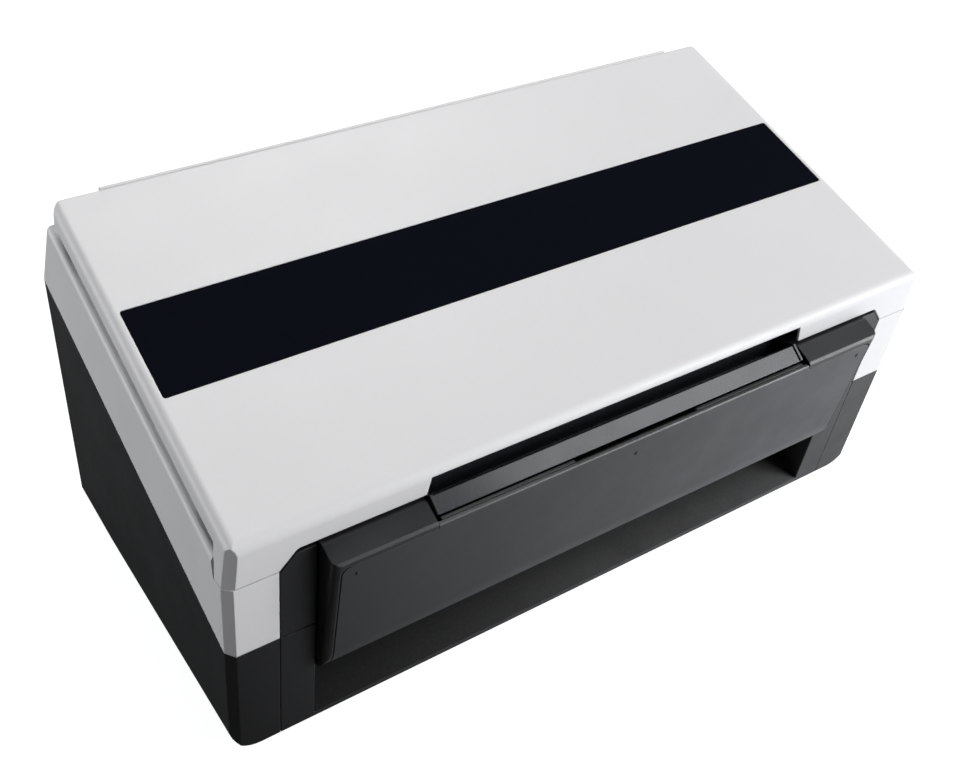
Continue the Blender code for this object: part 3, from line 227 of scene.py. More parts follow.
M = {
    "white": plastic("white_satin_plastic", (0.80, 0.790, 0.795, 1), rough=0.42, grain=2400, grain_depth=0.010, mottle=0.008,
                     edge=0.12, edge_r=0.7, rough_var=0.05),
    "black": plastic("black_grained_plastic", (0.0070, 0.0070, 0.0076, 1), rough=0.46, grain=2000, grain_depth=0.018, mottle=0.06,
                     edge=0.25, edge_r=0.7, spec=0.62),
    "door": plastic("charcoal_grained_plastic", (0.0105, 0.0107, 0.0120, 1), rough=0.44, grain=1900, grain_depth=0.020, mottle=0.05,
                    edge=0.25, edge_r=0.6, spec=0.62),
    "tray": plastic("charcoal_tray_plastic", (0.0105, 0.0107, 0.0122, 1), rough=0.46, grain=1700, grain_depth=0.022, mottle=0.06,
                    edge=0.3, edge_r=0.5, spec=0.95),
    "floor_grain": plastic("coarse_grained_floor", (0.009, 0.009, 0.0096, 1), rough=0.6, grain=900, grain_depth=0.04, mottle=0.18,
                           edge=0.2, edge_r=0.6, spec=0.3),
    "stripe": plastic("stripe_dark_panel", (0.0052, 0.0060, 0.0098, 1), rough=0.42, grain=3000, grain_depth=0.002, mottle=0.03,
                      edge=0.1, edge_r=0.4, spec=0.0, rough_var=0.04),
    "gloss": plastic("gloss_black_plastic", (0.010, 0.011, 0.014, 1), rough=0.12, grain=3000, grain_depth=0.001, mottle=0.03,
                     edge=0.2, edge_r=0.4, coat=0.6, rough_var=0.04),
    "grip": plastic("semi_gloss_grip", (0.020, 0.021, 0.026, 1), rough=0.26, grain=1800, grain_depth=0.008, mottle=0.06,
                    edge=0.1, edge_r=0.5, coat=0.35, rough_var=0.08),
    "chassis": plastic("chassis_grey_plastic", (0.075, 0.076, 0.080, 1), rough=0.50, grain=1500, grain_depth=0.015, mottle=0.06,
                       edge=0.3, edge_r=0.5),
    "bed": plastic("tray_bed_grey", (0.055, 0.056, 0.060, 1), rough=0.40, grain=1700, grain_depth=0.012, mottle=0.05, edge=0.3,
                   edge_r=0.5),
    "rubber": plastic("roller_rubber", (0.040, 0.041, 0.046, 1), rough=0.82, grain=1200, grain_depth=0.03, mottle=0.12, edge=0.35,
                      edge_r=0.4, spec=0.25, rough_var=0.1),
    "rubber_blue": plastic("feed_rubber", (0.060, 0.095, 0.16, 1), rough=0.72, grain=1200, grain_depth=0.03, mottle=0.12, edge=0.3,
                           edge_r=0.4, spec=0.3, rough_var=0.1),
    "foot": plastic("foot_rubber", (0.022, 0.022, 0.023, 1), rough=0.85, grain=1100, grain_depth=0.04, mottle=0.12, edge=0.2,
                    edge_r=0.3, spec=0.2, rough_var=0.1),
    "steel": metal("ground_steel", (0.56, 0.56, 0.57, 1), rough=0.26, brush=(0.08, 1.0, 1.0)),
    "zinc": metal("zinc_plate", (0.62, 0.63, 0.65, 1), rough=0.36, brush=(1.0, 0.1, 1.0)),
    "brass": metal("brass_contacts", (0.78, 0.58, 0.25, 1), rough=0.28),
    "glass": glass_mat("scan_glass"),
    "window": glass_mat("display_glass", dark=(0.012, 0.030, 0.038)),
    "led": plastic("status_lens", (0.10, 0.42, 0.16, 1), rough=0.18, grain=900, grain_depth=0.004, mottle=0.03, edge=0.2,
                   edge_r=0.2, coat=0.8, rough_var=0.03),
    "board": plastic("board_solder_mask", (0.012, 0.085, 0.036, 1), rough=0.34, grain=1600, grain_depth=0.01, mottle=0.12,
                     edge=0.3, edge_r=0.2, coat=0.3, rough_var=0.06),
    "chip": plastic("chip_epoxy", (0.018, 0.018, 0.019, 1), rough=0.6, grain=2500, grain_depth=0.01, mottle=0.1, edge=0.3,
                    edge_r=0.2),
    "button": plastic("button_grey_plastic", (0.36, 0.37, 0.39, 1), rough=0.36, grain=2200, grain_depth=0.008, mottle=0.03,
                      edge=0.3, edge_r=0.5),
    "mark": plastic("printed_marks_light", (0.62, 0.63, 0.65, 1), rough=0.5, grain=2600, grain_depth=0.004, mottle=0.04,
                    edge=0.1, edge_r=0.2),
    "label": plastic("blank_label_film", (0.66, 0.66, 0.65, 1), rough=0.30, grain=2600, grain_depth=0.004, mottle=0.03, edge=0.1,
                     edge_r=0.2, coat=0.2),
    "cream": plastic("nylon_natural", (0.62, 0.60, 0.52, 1), rough=0.38, grain=1800, grain_depth=0.01, mottle=0.05, edge=0.2,
                     edge_r=0.3),
    "belt": plastic("belt_rubber", (0.018, 0.018, 0.019, 1), rough=0.7, grain=1500, grain_depth=0.03, mottle=0.1, edge=0.3,
                    edge_r=0.3, spec=0.3),
    "wire_red": plastic("wire_red", (0.45, 0.03, 0.03, 1), rough=0.4, grain=1500, grain_depth=0.004, mottle=0.05, edge=0.1),
    "wire_black": plastic("wire_black", (0.02, 0.02, 0.02, 1), rough=0.4, grain=1500, grain_depth=0.004, mottle=0.05, edge=0.1),
}

LOOK = {
    "upper_shell": "white", "lid_cover": "white", "lid_rear_trim": "white",
    "lower_casing": "black", "left_side_frame": "black", "right_side_frame": "black", "front_bezel": "black",
    "power_socket": "chip", "usb_socket": "zinc", "rear_jack_panel": "gloss",
    "deck_cover": "door", "tray_bed": "bed", "left_paper_guide": "door", "right_paper_guide": "door",
    "door_shell": "door", "output_tray": "tray", "output_tray_extension": "door", "door_grip": "grip",
    "lid_stripe": "stripe", "control_panel": "gloss", "base_plate": "chassis", "lower_paper_guide": "chassis",
    "lower_scan_module": "chip", "tray_extension": "chassis", "door_paper_guide": "chassis", "upper_scan_module": "chip",
    "lid_hinge_pin_left": "steel", "lid_hinge_pin_right": "steel", "door_pivot_pin_left": "steel",
    "door_pivot_pin_right": "steel", "tray_pivot_pin_left": "steel", "tray_pivot_pin_right": "steel",
    "feed_shaft": "steel", "exit_shaft": "steel", "reverse_shaft": "steel", "motor_pulley": "brass", "drive_motor": "zinc",
    "power_button": "steel", "foot_front_left": "foot", "foot_front_right": "foot", "foot_rear_left": "foot",
    "foot_rear_right": "foot", "exit_idler_roller": "rubber", "feed_roller": "rubber_blue", "exit_roller_left": "rubber",
    "exit_roller_right": "rubber", "reverse_roller": "rubber", "drive_belt": "belt", "lower_scan_glass": "glass",
    "upper_scan_glass": "glass", "display_window": "window", "status_light": "led", "main_board": "board",
    "guide_pinion": "cream", "scan_button": "button", "function_up_button": "button", "function_down_button": "button",
    "feed_pulley": "cream", "exit_pulley": "cream",
}


def dress(ob, key):
    ob.data.materials.clear()
    ob.data.materials.append(M[key])
    for p in ob.data.polygons:
        p.material_index = 0
    return ob


for name, ob in nodes.items():
    dress(ob, LOOK[name])

# ------------------------------------------------------------------ mesh helpers for the fine pieces
def in_case(u, v, w):
    """x, y, z of the casing."""
    return P(u, v, w)


def on_lid(u, v, w):
    """x, along the lid's slope, above its top plane."""
    return P(u, *lid(v, w))


def on_face(u, v, w):
    """x, down the door's face, out of it."""
    return P(u, *face(v, -w))


FLOOR_A = math.atan(0.5673)


def on_exit_floor(u, v, w):
    """x, up the exit floor, above it."""
    return P(u, -0.2 + v * math.cos(FLOOR_A) - w * math.sin(FLOOR_A), 1.2 + v * math.sin(FLOOR_A) + w * math.cos(FLOOR_A))


REAR_A = math.atan2(14.9, 120.0)


def on_rear(u, v, w):
    """x, up the casing's rear face, out of it."""
    return P(u, 173.7 - v * math.sin(REAR_A) + w * math.cos(REAR_A), v * math.cos(REAR_A) + w * math.sin(REAR_A))


PATH_D = Vector((56.0, 70.0)).normalized()
PATH_N = Vector((PATH_D.y, -PATH_D.x))


def on_path(u, v, w):
    """x, down the paper path from its bend, below and behind the paper."""
    q = Vector((90.0, 112.0)) - PATH_D * v + PATH_N * w
    return P(u, q.x, q.y)


def brick_into(bm, lo, hi, r, seg=2):
    """One box with rounded edges added to bm, in local mm."""
    part = bmesh.new()
    bmesh.ops.create_cube(part, size=1.0)
    size = [hi[k] - lo[k] for k in range(3)]
    for v in part.verts:
        v.co = Vector([(lo[k] + hi[k]) / 2 + v.co[k] * size[k] for k in range(3)])
    r = min(r, min(size) * 0.42)
    if r > 0.01:
        bmesh.ops.bevel(part, geom=list(part.edges), offset=r, segments=seg, affect="EDGES", profile=0.5, clamp_overlap=True)
    me = bpy.data.meshes.new("tmp")
    part.to_mesh(me)
    part.free()
    bm.from_mesh(me)
    bpy.data.meshes.remove(me)


def rings_into(bm, rings):
    rows = [[bm.verts.new(p) for p in ring] for ring in rings]
    n = len(rows[0])
    for a, b in zip(rows, rows[1:]):
        for i in range(n):
            bm.faces.new((a[i], a[(i + 1) % n], b[(i + 1) % n], b[i]))
    bm.faces.new(list(reversed(rows[0])))
    bm.faces.new(rows[-1])


def turned_into(bm, u, v, steps, n=24):
    """A turned piece standing on the w axis. steps are (w, radius)."""
    rings_into(bm, [[Vector((u + r * math.cos(2 * math.pi * i / n), v + r * math.sin(2 * math.pi * i / n), w)) for i in range(n)]
                    for w, r in steps])


def prism_into(bm, pts, w0, w1, chamfer=0.0):
    """An outline in u, v pushed along w, its upper edge slightly drawn in."""
    cu = sum(p[0] for p in pts) / len(pts)
    cv = sum(p[1] for p in pts) / len(pts)
    rings = [[Vector((p[0], p[1], w0)) for p in pts], [Vector((p[0], p[1], w1 - chamfer)) for p in pts]]
    if chamfer:
        k = 1 - 2.2 * chamfer / max(1e-6, max(abs(p[0] - cu) + abs(p[1] - cv) for p in pts))
        rings.append([Vector((cu + (p[0] - cu) * k, cv + (p[1] - cv) * k, w1)) for p in pts])
    rings_into(bm, rings)


def place(name, bm, frame_fn, key, body, smooth=35):
    """Map the local mesh through an affine frame, give it its material and let it ride on a body."""
    for v in bm.verts:
        v.co = frame_fn(*v.co)
    bmesh.ops.recalc_face_normals(bm, faces=bm.faces)
    me = bpy.data.meshes.new(name)
    bm.to_mesh(me)
    bm.free()
    ob = bpy.data.objects.new(name, me)
    bpy.context.scene.collection.objects.link(ob)
    me.materials.append(M[key])
    me.shade_smooth()
    me.set_sharp_from_angle(angle=math.radians(smooth))
    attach(ob, body)
    return ob


def bricks(name, frame_fn, boxes, key, body, r=0.2, seg=2):
    bm = bmesh.new()
    for u0, u1, v0, v1, w0, w1 in boxes:
        brick_into(bm, (u0, v0, w0), (u1, v1, w1), r, seg)
    return place(name, bm, frame_fn, key, body)


def about_x(centre):
    """Frame whose w axis runs along X through centre (y, z)."""
    def fn(u, v, w):
        return P(w, centre[0] + u, centre[1] + v)
    return fn


def ring_into(bm, x0, x1, r_out, r_in, soft, n=32):
    """A closed band round the w axis with a softened outer rim."""
    sec = [(x0, r_in), (x0, r_out - soft), (x0 + soft, r_out), (x1 - soft, r_out), (x1, r_out - soft), (x1, r_in)]
    rows = [[bm.verts.new((r * math.cos(2 * math.pi * i / n), r * math.sin(2 * math.pi * i / n), w)) for i in range(n)] for w, r in sec]
    for a, b in zip(rows, rows[1:] + rows[:1]):
        for i in range(n):
            bm.faces.new((a[i], a[(i + 1) % n], b[(i + 1) % n], b[i]))


def tube_into(bm, points, r, n=10):
    """A round wire along points (local mm)."""
    pts = [Vector(p) for p in points]
    rings = []
    side = None
    for i, p in enumerate(pts):
        d = (pts[min(i + 1, len(pts) - 1)] - pts[max(i - 1, 0)]).normalized()
        if side is None:
            side = d.orthogonal().normalized()
        side = (side - d * side.dot(d)).normalized()
        up = d.cross(side)
        rings.append([p + side * r * math.cos(2 * math.pi * k / n) + up * r * math.sin(2 * math.pi * k / n) for k in range(n)])
    rings_into(bm, rings)


def curve_points(ctrl, steps=8):
    """Catmull-Rom points through the control points."""
    c = [Vector(p) for p in ctrl]
    c = [c[0] * 2 - c[1]] + c + [c[-1] * 2 - c[-2]]
    out = []
    for i in range(1, len(c) - 2):
        for k in range(steps):
            t = k / steps
            out.append(0.5 * ((2 * c[i]) + (c[i + 1] - c[i - 1]) * t + (2 * c[i - 1] - 5 * c[i] + 4 * c[i + 1] - c[i + 2]) * t * t
                              + (3 * c[i] - c[i - 1] - 3 * c[i + 1] + c[i + 2]) * t ** 3))
    out.append(c[-2])
    return out


# ------------------------------------------------------------------ front: pips on the tray, grained exit floor
bm = bmesh.new()
for x, t in ((-116.4, 7.9), (116.4, 7.9), (0.0, 9.2)):
    rings_into(bm, [[Vector((x + a * math.cos(2 * math.pi * i / 16), t + 1.7 * a * math.sin(2 * math.pi * i / 16), w)) for i in range(16)]
                    for w, a in ((-0.5, 0.62), (0.10, 0.62), (0.26, 0.40), (0.30, 0.15))])
place("tray_face_pips", bm, on_face, "black", "exit_tray")
bricks("exit_floor_grain", on_exit_floor, [(-125.3, 125.3, 0.2, 35.0, -0.3, 0.10)], "floor_grain", "casing", 0.1)

# ------------------------------------------------------------------ inside of the lid and the deck under it
xs = (15, 45, 75, 105, 135)
bricks("tray_bed_ribs", on_lid, [(sx * x - 0.6, sx * x + 0.6, -3.0, 90.0, -8.35, -7.6) for x in xs for sx in (-1, 1)], "bed", "lid", 0.2)
bricks("tray_bed_size_marks", on_lid, [(sx * x - 0.35, sx * x + 0.35, 91.6, 94.6, -7.87, -7.7) for x in (52.5, 64.5, 74.0, 91.0, 105.0, 108.0)
                                       for sx in (-1, 1)], "mark", "lid", 0.03, 1)
bricks("deck_lead_in_ribs", on_lid, [(x - 0.6, x + 0.6, 55.0, 83.0, -13.8, -12.9) for x in range(-110, 111, 20)], "door", "casing", 0.2)
bricks("deck_side_pads", on_lid, [(sx * 135 - 9, sx * 135 + 9, 60.0, 76.0, -13.7, -12.7) for sx in (-1, 1)], "rubber", "casing", 0.3)

# arrows, start mark and power mark on the buttons; plain bars in the display
up = [(92.0, 40.9), (94.0, 38.6), (92.9, 38.6), (92.0, 39.6), (91.1, 38.6), (90.0, 38.6)]
bm = bmesh.new()
prism_into(bm, list(reversed(up)), -12.95, -12.72)
place("up_button_mark", bm, on_lid, "mark", "up")
bm = bmesh.new()
prism_into(bm, [(x, 27.0 - (s - 39.6) - 0.6) for x, s in up], -12.95, -12.72)
place("down_button_mark", bm, on_lid, "mark", "down")
bm = bmesh.new()
prism_into(bm, [(108.6, 31.2), (113.0, 33.3), (108.6, 35.4)], -12.95, -12.70, 0.05)
place("scan_button_mark", bm, on_lid, "led", "scan")
bm = bmesh.new()
outer = [(135.6 + 2.5 * math.sin(math.radians(a)), 33.0 + 2.5 * math.cos(math.radians(a))) for a in range(35, 326, 29)]
inner = [(135.6 + 1.9 * math.sin(math.radians(a)), 33.0 + 1.9 * math.cos(math.radians(a))) for a in range(325, 34, -29)]
rings_into(bm, [[Vector((x, s, w)) for x, s in outer + inner] for w in (-12.95, -12.72)])
brick_into(bm, (135.25, 33.3, -12.95), (135.95, 36.2, -12.72), 0.05, 1)
place("power_button_mark", bm, on_lid, "mark", "power")
bricks("display_bars", on_lid, [(47.0, 47.0 + w, 40.0 - 3.2 * i, 41.0 - 3.2 * i, -13.6, -13.44) for i, w in enumerate((22.0, 15.0, 27.0, 10.0))],
       "mark", "casing", 0.03, 1)
bricks("panel_frame_lines", on_lid, [(42.0, 84.0, 23.2, 23.6, -13.4, -13.2), (42.0, 84.0, 43.4, 43.8, -13.4, -13.2)], "button", "casing", 0.04, 1)

# ------------------------------------------------------------------ paper path
bricks("lower_guide_ribs", on_path, [(x - 0.5, x + 0.5, a, b, 0.75, 1.5) for x in (-112, -88, -64, -36, 36, 64, 88, 112) for a, b in ((4, 35), (54, 76))],
       "chassis", "casing", 0.15)
bricks("door_guide_ribs", on_path, [(x - 0.5, x + 0.5, 77.0, 91.0, -2.9, -2.2) for x in (-112, -90, -66, -15, 0, 15, 66, 90, 112)],
       "chassis", "door", 0.15)
bricks("lower_lamp_strip", on_path, [(-110, 110, 44.8 - 5.4, 44.8 - 3.6, 6.0, 13.3), (-110, 110, 44.8 + 3.6, 44.8 + 5.4, 6.0, 13.3)], "label",
       "casing", 0.3)
bricks("upper_lamp_strip", on_path, [(-110, 110, 68.9 - 4.4, 68.9 - 3.0, -13.8, -6.4), (-110, 110, 68.9 + 3.0, 68.9 + 4.4, -13.8, -6.4)], "label",
       "door", 0.3)
for name, centre, spans, r, body in (
        ("feed_roller_tread", (93.44, 101.10), [(-18.6 + 4.2 * i, -15.6 + 4.2 * i) for i in range(9)], 9.0, "feed"),
        ("reverse_roller_tread", (79.34, 112.29), [(-14.7 + 4.2 * i, -11.9 + 4.2 * i) for i in range(7)], 8.0, "reverse"),
        ("exit_roller_tread", (41.90, 39.90), [(s * 40 - 9.4 + 4.0 * i, s * 40 - 6.6 + 4.0 * i) for s in (-1, 1) for i in range(5)], 7.0, "exit"),
        ("idler_roller_tread", (31.30, 48.30), [(s * 40 - 9.4 + 4.0 * i, s * 40 - 6.6 + 4.0 * i) for s in (-1, 1) for i in range(5)], 5.0, "idler")):
    bm = bmesh.new()
    for a, b in spans:
        ring_into(bm, a, b, r + 0.28, r - 0.3, 0.12)
    place(name, bm, about_x(centre), "rubber_blue" if body == "feed" else "rubber", body)
for name, centre, r, body, hub in (("feed_pulley_flanges", (93.44, 101.10), 10.3, "feed", 3.4), ("exit_pulley_flanges", (41.90, 39.90), 10.3, "exit", 3.4),
                                   ("motor_pulley_flange", (112.0, 36.0), 6.2, "motor", 2.0)):
    bm = bmesh.new()
    ring_into(bm, -139.2, -138.4, r, hub, 0.2)
    ring_into(bm, -132.6, -131.8, r, hub, 0.2)
    place(name, bm, about_x(centre), "brass" if body == "motor" else "cream", body)
bm = bmesh.new()
for c in ((93.44, 101.10), (41.90, 39.90)):
    for x0 in (-131.2, 129.2):
        part = bmesh.new()
        ring_into(part, x0, x0 + 1.6, 5.6, 3.3, 0.3)
        for v in part.verts:
            v.co = Vector((v.co.x + c[0], v.co.y + c[1], v.co.z))
        me = bpy.data.meshes.new("tmp")
        part.to_mesh(me)
        part.free()
        bm.from_mesh(me)
        bpy.data.meshes.remove(me)
place("shaft_bushings", bm, about_x((0.0, 0.0)), "cream", "casing")

# ------------------------------------------------------------------ motor, board, wires
bm = bmesh.new()
turned_into(bm, 0, 0, [(-90.2, 15.0), (-89.0, 15.0), (-88.6, 14.4), (-88.6, 6.0), (-87.4, 5.6), (-87.2, 2.0)], 28)
place("motor_end_cap", bm, about_x((112.0, 36.0)), "chip", "casing")
bm = bmesh.new()
for a in (45, 225):
    u, v = 14.6 * math.cos(math.radians(a)), 14.6 * math.sin(math.radians(a))
    turned_into(bm, u, v, [(-124.2, 1.8), (-123.2, 1.8), (-122.8, 1.4), (-122.7, 0.5)], 16)
place("motor_screws", bm, about_x((112.0, 36.0)), "steel", "casing")
bricks("board_chips", in_case, [(-8, 10, 112, 130, 9.5, 11.3), (22, 34, 108, 118, 9.5, 11.0), (22, 30, 126, 138, 9.5, 10.9), (46, 62, 112, 126, 9.5, 11.6),
                                (76, 84, 106, 112, 9.5, 10.8), (94, 104, 118, 132, 9.5, 11.2)], "chip", "casing", 0.25)
bricks("board_sockets", in_case, [(-16, 2, 150, 156, 9.5, 15.0), (8, 22, 150, 156, 9.5, 15.0), (108, 119, 106, 124, 9.5, 14.0), (70, 92, 142, 148, 9.5, 13.0)],
       "cream", "casing", 0.4)
bm = bmesh.new()
for x, y, r, h in ((64, 140, 4.0, 9.0), (56, 150, 3.2, 7.0), (110, 142, 4.4, 10.0), (40, 148, 2.6, 6.0)):
    turned_into(bm, x, y, [(9.5, r), (9.5 + h - 0.6, r), (9.5 + h - 0.2, r - 0.4), (9.5 + h, r - 0.9)], 20)
place("board_capacitors", bm, in_case, "zinc", "casing")
bricks("chip_legs", in_case, [(-8.9 if s < 0 else 9.7, -7.7 if s < 0 else 10.9, 113.2 + 2.4 * i, 114.1 + 2.4 * i, 9.5, 10.2) for s in (-1, 1) for i in range(7)],
       "steel", "casing", 0.08, 1)
for tag, dy, key in (("red", 0.0, "wire_red"), ("black", 2.4, "wire_black")):
    bm = bmesh.new()
    tube_into(bm, curve_points([(-88.0, 112 + dy, 42.0), (-80.0, 113 + dy, 40.0), (-60.0, 122 + dy, 22.0), (-34.0, 138 + dy, 10.0),
                                (-18.0, 150 + dy * 0.6, 11.5), (-9.0, 152 + dy * 0.6, 13.0)]), 0.85)
    place("motor_wire_" + tag, bm, in_case, key, "casing")

# ------------------------------------------------------------------ rear face: sockets, vents, screws
bricks("usb_tongue", in_case, [(50.6, 57.4, 163.0, 170.6, 16.2, 18.8)], "label", "casing", 0.3)
bm = bmesh.new()
turned_into(bm, 88.0, 0.0, [(162.0, 0.9), (169.0, 0.9), (169.6, 0.6), (169.9, 0.2)], 14)
place("power_pin", bm, lambda u, v, w: P(u, w, 16.5 + v), "steel", "casing")
vents = []
for i in range(14):
    vents.append((-122.0 + 8.0 * i, -118.4 + 8.0 * i, 46.0, 66.0, -0.3, 0.35))
bricks("rear_vent_louvres", on_rear, vents, "black", "casing", 0.3)
bm = bmesh.new()
brick_into(bm, (-125.5, 42.5, -0.3), (-11.0, 43.7, 0.28), 0.15)
brick_into(bm, (-125.5, 68.3, -0.3), (-11.0, 69.5, 0.28), 0.15)
place("rear_vent_frame", bm, on_rear, "black", "casing")


def screws(name, frame_fn, spots, w, r, key, body):
    bm = bmesh.new()
    n = 24
    for u, v in spots:
        rings = []
        for ww, rad in ((w - 0.6, r), (w + 0.25, r), (w + 0.62, r * 0.82), (w + 0.72, r * 0.5)):
            rings.append([Vector((u + rad * math.cos(2 * math.pi * i / n), v + rad * math.sin(2 * math.pi * i / n), ww)) for i in range(n)])
        for ww, rad in ((w + 0.70, 0.42), (w + 0.15, 0.30)):
            ring = []
            for i in range(n):
                a = 2 * math.pi * i / n
                arm = max(abs(math.cos(2 * a)), 0.0) ** 3
                q = r * rad * (0.34 + 0.80 * arm)
                ring.append(Vector((u + q * math.cos(a), v + q * math.sin(a), ww)))
            rings.append(ring)
        rings_into(bm, rings)
    return place(name, bm, frame_fn, key, body, 30)


screws("rear_screws", on_rear, [(-146.0, 20.0), (146.0, 20.0), (-146.0, 100.0), (146.0, 100.0)], 0.0, 2.6, "steel", "casing")


def under(u, v, w):
    """x, y, below the base plate."""
    return P(u, v, -w)


screws("base_screws", under, [(-128.0, 20.0), (128.0, 20.0), (-128.0, 154.0), (128.0, 154.0), (0.0, 20.0), (0.0, 154.0)], -0.1, 2.6, "steel", "casing")
bricks("base_vents", under, [(-84.0 + 6.0 * i, -81.6 + 6.0 * i, 64.0, 96.0, -0.3, 0.35) for i in range(10)], "chassis", "casing", 0.25)
bm = bmesh.new()
lab = []
for cx, cy, a0 in ((78, 60, 180), (118, 60, 270), (118, 92, 0), (78, 92, 90)):
    lab += [(cx + (2 if a0 in (270, 0) else -2) * 0 + 2.0 * math.cos(math.radians(a0 + 22.5 * k)), cy + 2.0 * math.sin(math.radians(a0 + 22.5 * k)))
            for k in range(5)]
prism_into(bm, lab, -0.2, 0.12, 0.03)
place("base_blank_label", bm, under, "label", "casing")
bm = bmesh.new()
for x, y in ((-100, 48), (100, 48), (-100, 148), (100, 148)):
    part = bmesh.new()
    ring_into(part, -0.2, 0.55, 8.4, 7.0, 0.2)
    for v in part.verts:
        v.co = Vector((v.co.x + x, v.co.y + y, v.co.z))
    me = bpy.data.meshes.new("tmp")
    part.to_mesh(me)
    part.free()
    bm.from_mesh(me)
    bpy.data.meshes.remove(me)
place("foot_collars", bm, under, "chassis", "casing")

# ------------------------------------------------------------------ door latches
bricks("door_latches", in_case, [(sx * 112.0 - 5.0, sx * 112.0 + 5.0, 9.0, 18.0, 38.0, 40.5) for sx in (-1, 1)], "cream", "door", 0.5)

# ------------------------------------------------------------------ floor, light, camera
def stage_mesh(name, verts, faces, mat):
    me = bpy.data.meshes.new(name)
    me.from_pydata(verts, [], faces)
    ob = bpy.data.objects.new(name, me)
    bpy.context.scene.collection.objects.link(ob)
    me.materials.append(mat)
    return ob


FLOOR_BOUNCE, FLOOR_GLOW = 0.05, 0.90
# the floor's painted glow towards the object, at its left and right ends
PAINTED_GLOW_LEFT, PAINTED_GLOW_RIGHT = 0.02, 1.45
WORLD_LOW, WORLD_HIGH = 0.03, 0.08
KEY_TOP, SOFT_LEFT, SOFT_RIGHT, KEY_FRONT = 26.0, 11.4, 75.0, 5.6
floor_mat = bpy.data.materials.new("pale_floor")
floor_mat.use_nodes = True
fnt = floor_mat.node_tree
fb = fnt.nodes["Principled BSDF"]
fb.inputs["Base Color"].default_value = (FLOOR_BOUNCE, FLOOR_BOUNCE, FLOOR_BOUNCE * 1.01, 1)
fb.inputs["Roughness"].default_value = 0.65
fb.inputs["Specular IOR Level"].default_value = 0.1
# painted glow: the sweep's emission is graded from dim on the left to bright on the right, in place of light falling on
# it from the right, so its glow on the object grows from left to right
ftc = node(fnt, "ShaderNodeTexCoord")
fsep = node(fnt, "ShaderNodeSeparateXYZ")
fnt.links.new(ftc.outputs["Object"], fsep.inputs[0])
fmap = node(fnt, "ShaderNodeMapRange")
fmap.inputs["From Min"].default_value = -0.16
fmap.inputs["From Max"].default_value = 0.34
fmap.inputs["To Min"].default_value = PAINTED_GLOW_LEFT
fmap.inputs["To Max"].default_value = PAINTED_GLOW_RIGHT
fnt.links.new(fsep.outputs["X"], fmap.inputs["Value"])
fb.inputs["Emission Color"].default_value = (0.93, 0.95, 1.0, 1)
fnt.links.new(fmap.outputs["Result"], fb.inputs["Emission Strength"])
# the camera sees a bright sweep with a faint shadow; the object sees only a dark copy of the floor carrying the painted
# glow
path_n = node(fnt, "ShaderNodeLightPath")
seen = node(fnt, "ShaderNodeBsdfDiffuse")
seen.inputs["Color"].default_value = (0.42, 0.42, 0.422, 1)
glow = node(fnt, "ShaderNodeEmission")
glow.inputs["Color"].default_value = (1.0, 1.0, 1.0, 1)
glow.inputs["Strength"].default_value = FLOOR_GLOW
both = node(fnt, "ShaderNodeAddShader")
fnt.links.new(seen.outputs[0], both.inputs[0])
fnt.links.new(glow.outputs[0], both.inputs[1])
pick = node(fnt, "ShaderNodeMixShader")
fnt.links.new(path_n.outputs["Is Camera Ray"], pick.inputs[0])
fnt.links.new(fb.outputs[0], pick.inputs[1])
fnt.links.new(both.outputs[0], pick.inputs[2])
fnt.links.new(pick.outputs[0], fnt.nodes["Material Output"].inputs["Surface"])
stage_mesh("studio_floor", [(-6, -6, 0), (6, -6, 0), (6, 6, 0), (-6, 6, 0)], [(0, 1, 2, 3)], floor_mat)
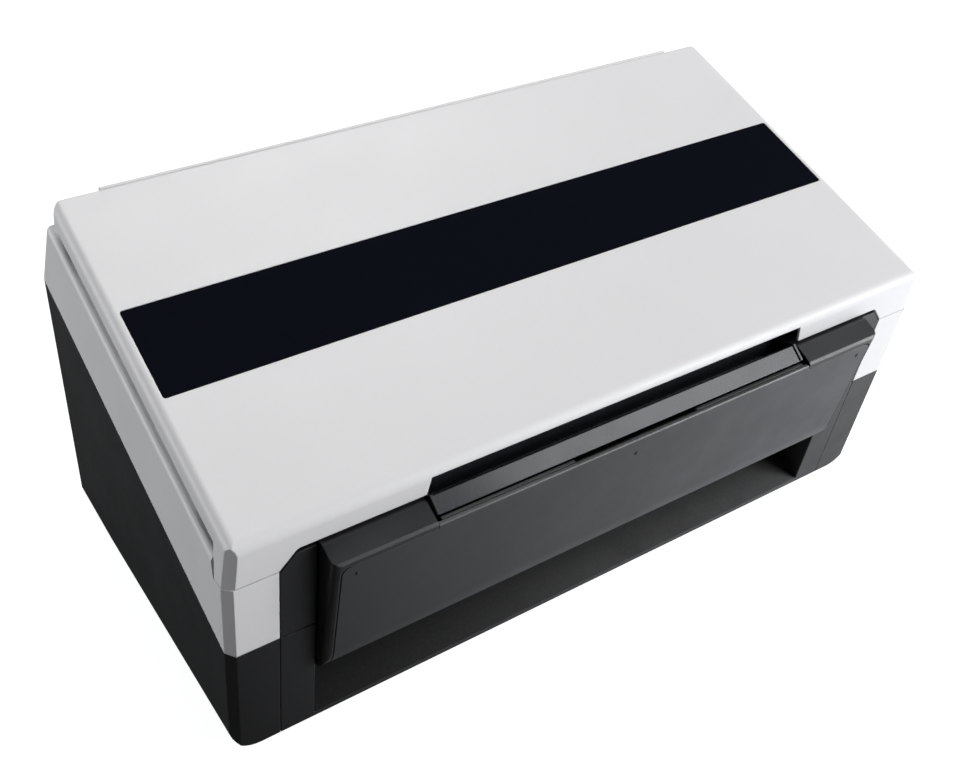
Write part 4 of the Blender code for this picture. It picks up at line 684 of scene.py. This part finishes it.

# soft surroundings: bright above, dim near the horizon
world = bpy.data.worlds.new("studio") if bpy.context.scene.world is None else bpy.context.scene.world
bpy.context.scene.world = world
world.use_nodes = True
wnt = world.node_tree
bg = wnt.nodes["Background"]
wtc = node(wnt, "ShaderNodeTexCoord")
sep = node(wnt, "ShaderNodeSeparateXYZ")
wnt.links.new(wtc.outputs["Generated"], sep.inputs[0])
ramp = node(wnt, "ShaderNodeMapRange")
ramp.interpolation_type = "SMOOTHSTEP"
ramp.inputs["From Min"].default_value = 0.05
ramp.inputs["From Max"].default_value = 0.75
ramp.inputs["To Min"].default_value = WORLD_LOW
ramp.inputs["To Max"].default_value = WORLD_HIGH
wnt.links.new(sep.outputs["Z"], ramp.inputs["Value"])
wnt.links.new(ramp.outputs["Result"], bg.inputs["Strength"])
bg.inputs["Color"].default_value = (1.0, 1.0, 1.0, 1)


def area(name, where, target, size, power, color=(1, 1, 1)):
    data = bpy.data.lights.new(name, "AREA")
    data.shape = "RECTANGLE"
    data.size, data.size_y = size
    data.energy = power
    data.color = color
    ob = bpy.data.objects.new(name, data)
    bpy.context.scene.collection.objects.link(ob)
    ob.location = where
    ob.rotation_euler = (Vector(target) - Vector(where)).to_track_quat("-Z", "Y").to_euler()
    return ob


area("key_overhead", (0.70, 1.00, 2.30), (0, 0, 0.1), (1.4, 1.4), KEY_TOP)
area("key_front_right", (1.00, -0.85, 1.15), (0, 0, 0.08), (0.7, 0.7), KEY_FRONT, (0.95, 0.975, 1.0))
area("soft_rear_left", (-1.30, 0.62, 0.45), (0, 0, 0.07), (0.9, 0.8), SOFT_LEFT, (0.955, 0.975, 1.0))
area("soft_front_right", (2.10, -2.10, 0.84), (0, 0, 0.07), (1.5, 1.3), SOFT_RIGHT, (0.98, 0.99, 1.0))

cam_data = bpy.data.cameras.new("camera")
cam = bpy.data.objects.new("camera", cam_data)
bpy.context.scene.collection.objects.link(cam)
cam.location = P(-240.58, -273.26, 361.03)
az, el = math.radians(32.27), math.radians(32.90)
aim = Vector((math.sin(az) * math.cos(el), math.cos(az) * math.cos(el), -math.sin(el)))
cam.rotation_euler = aim.to_track_quat("-Z", "Y").to_euler()
cam_data.sensor_width = 36.0
cam_data.lens = 1185.36 * 36.0 / 960.0
cam_data.shift_x = (480.0 - 444.56) / 960.0
cam_data.shift_y = (326.93 - 384.0) / 960.0
cam_data.clip_start = 0.01
bpy.context.scene.camera = cam
bpy.context.scene.view_settings.view_transform = "Standard"
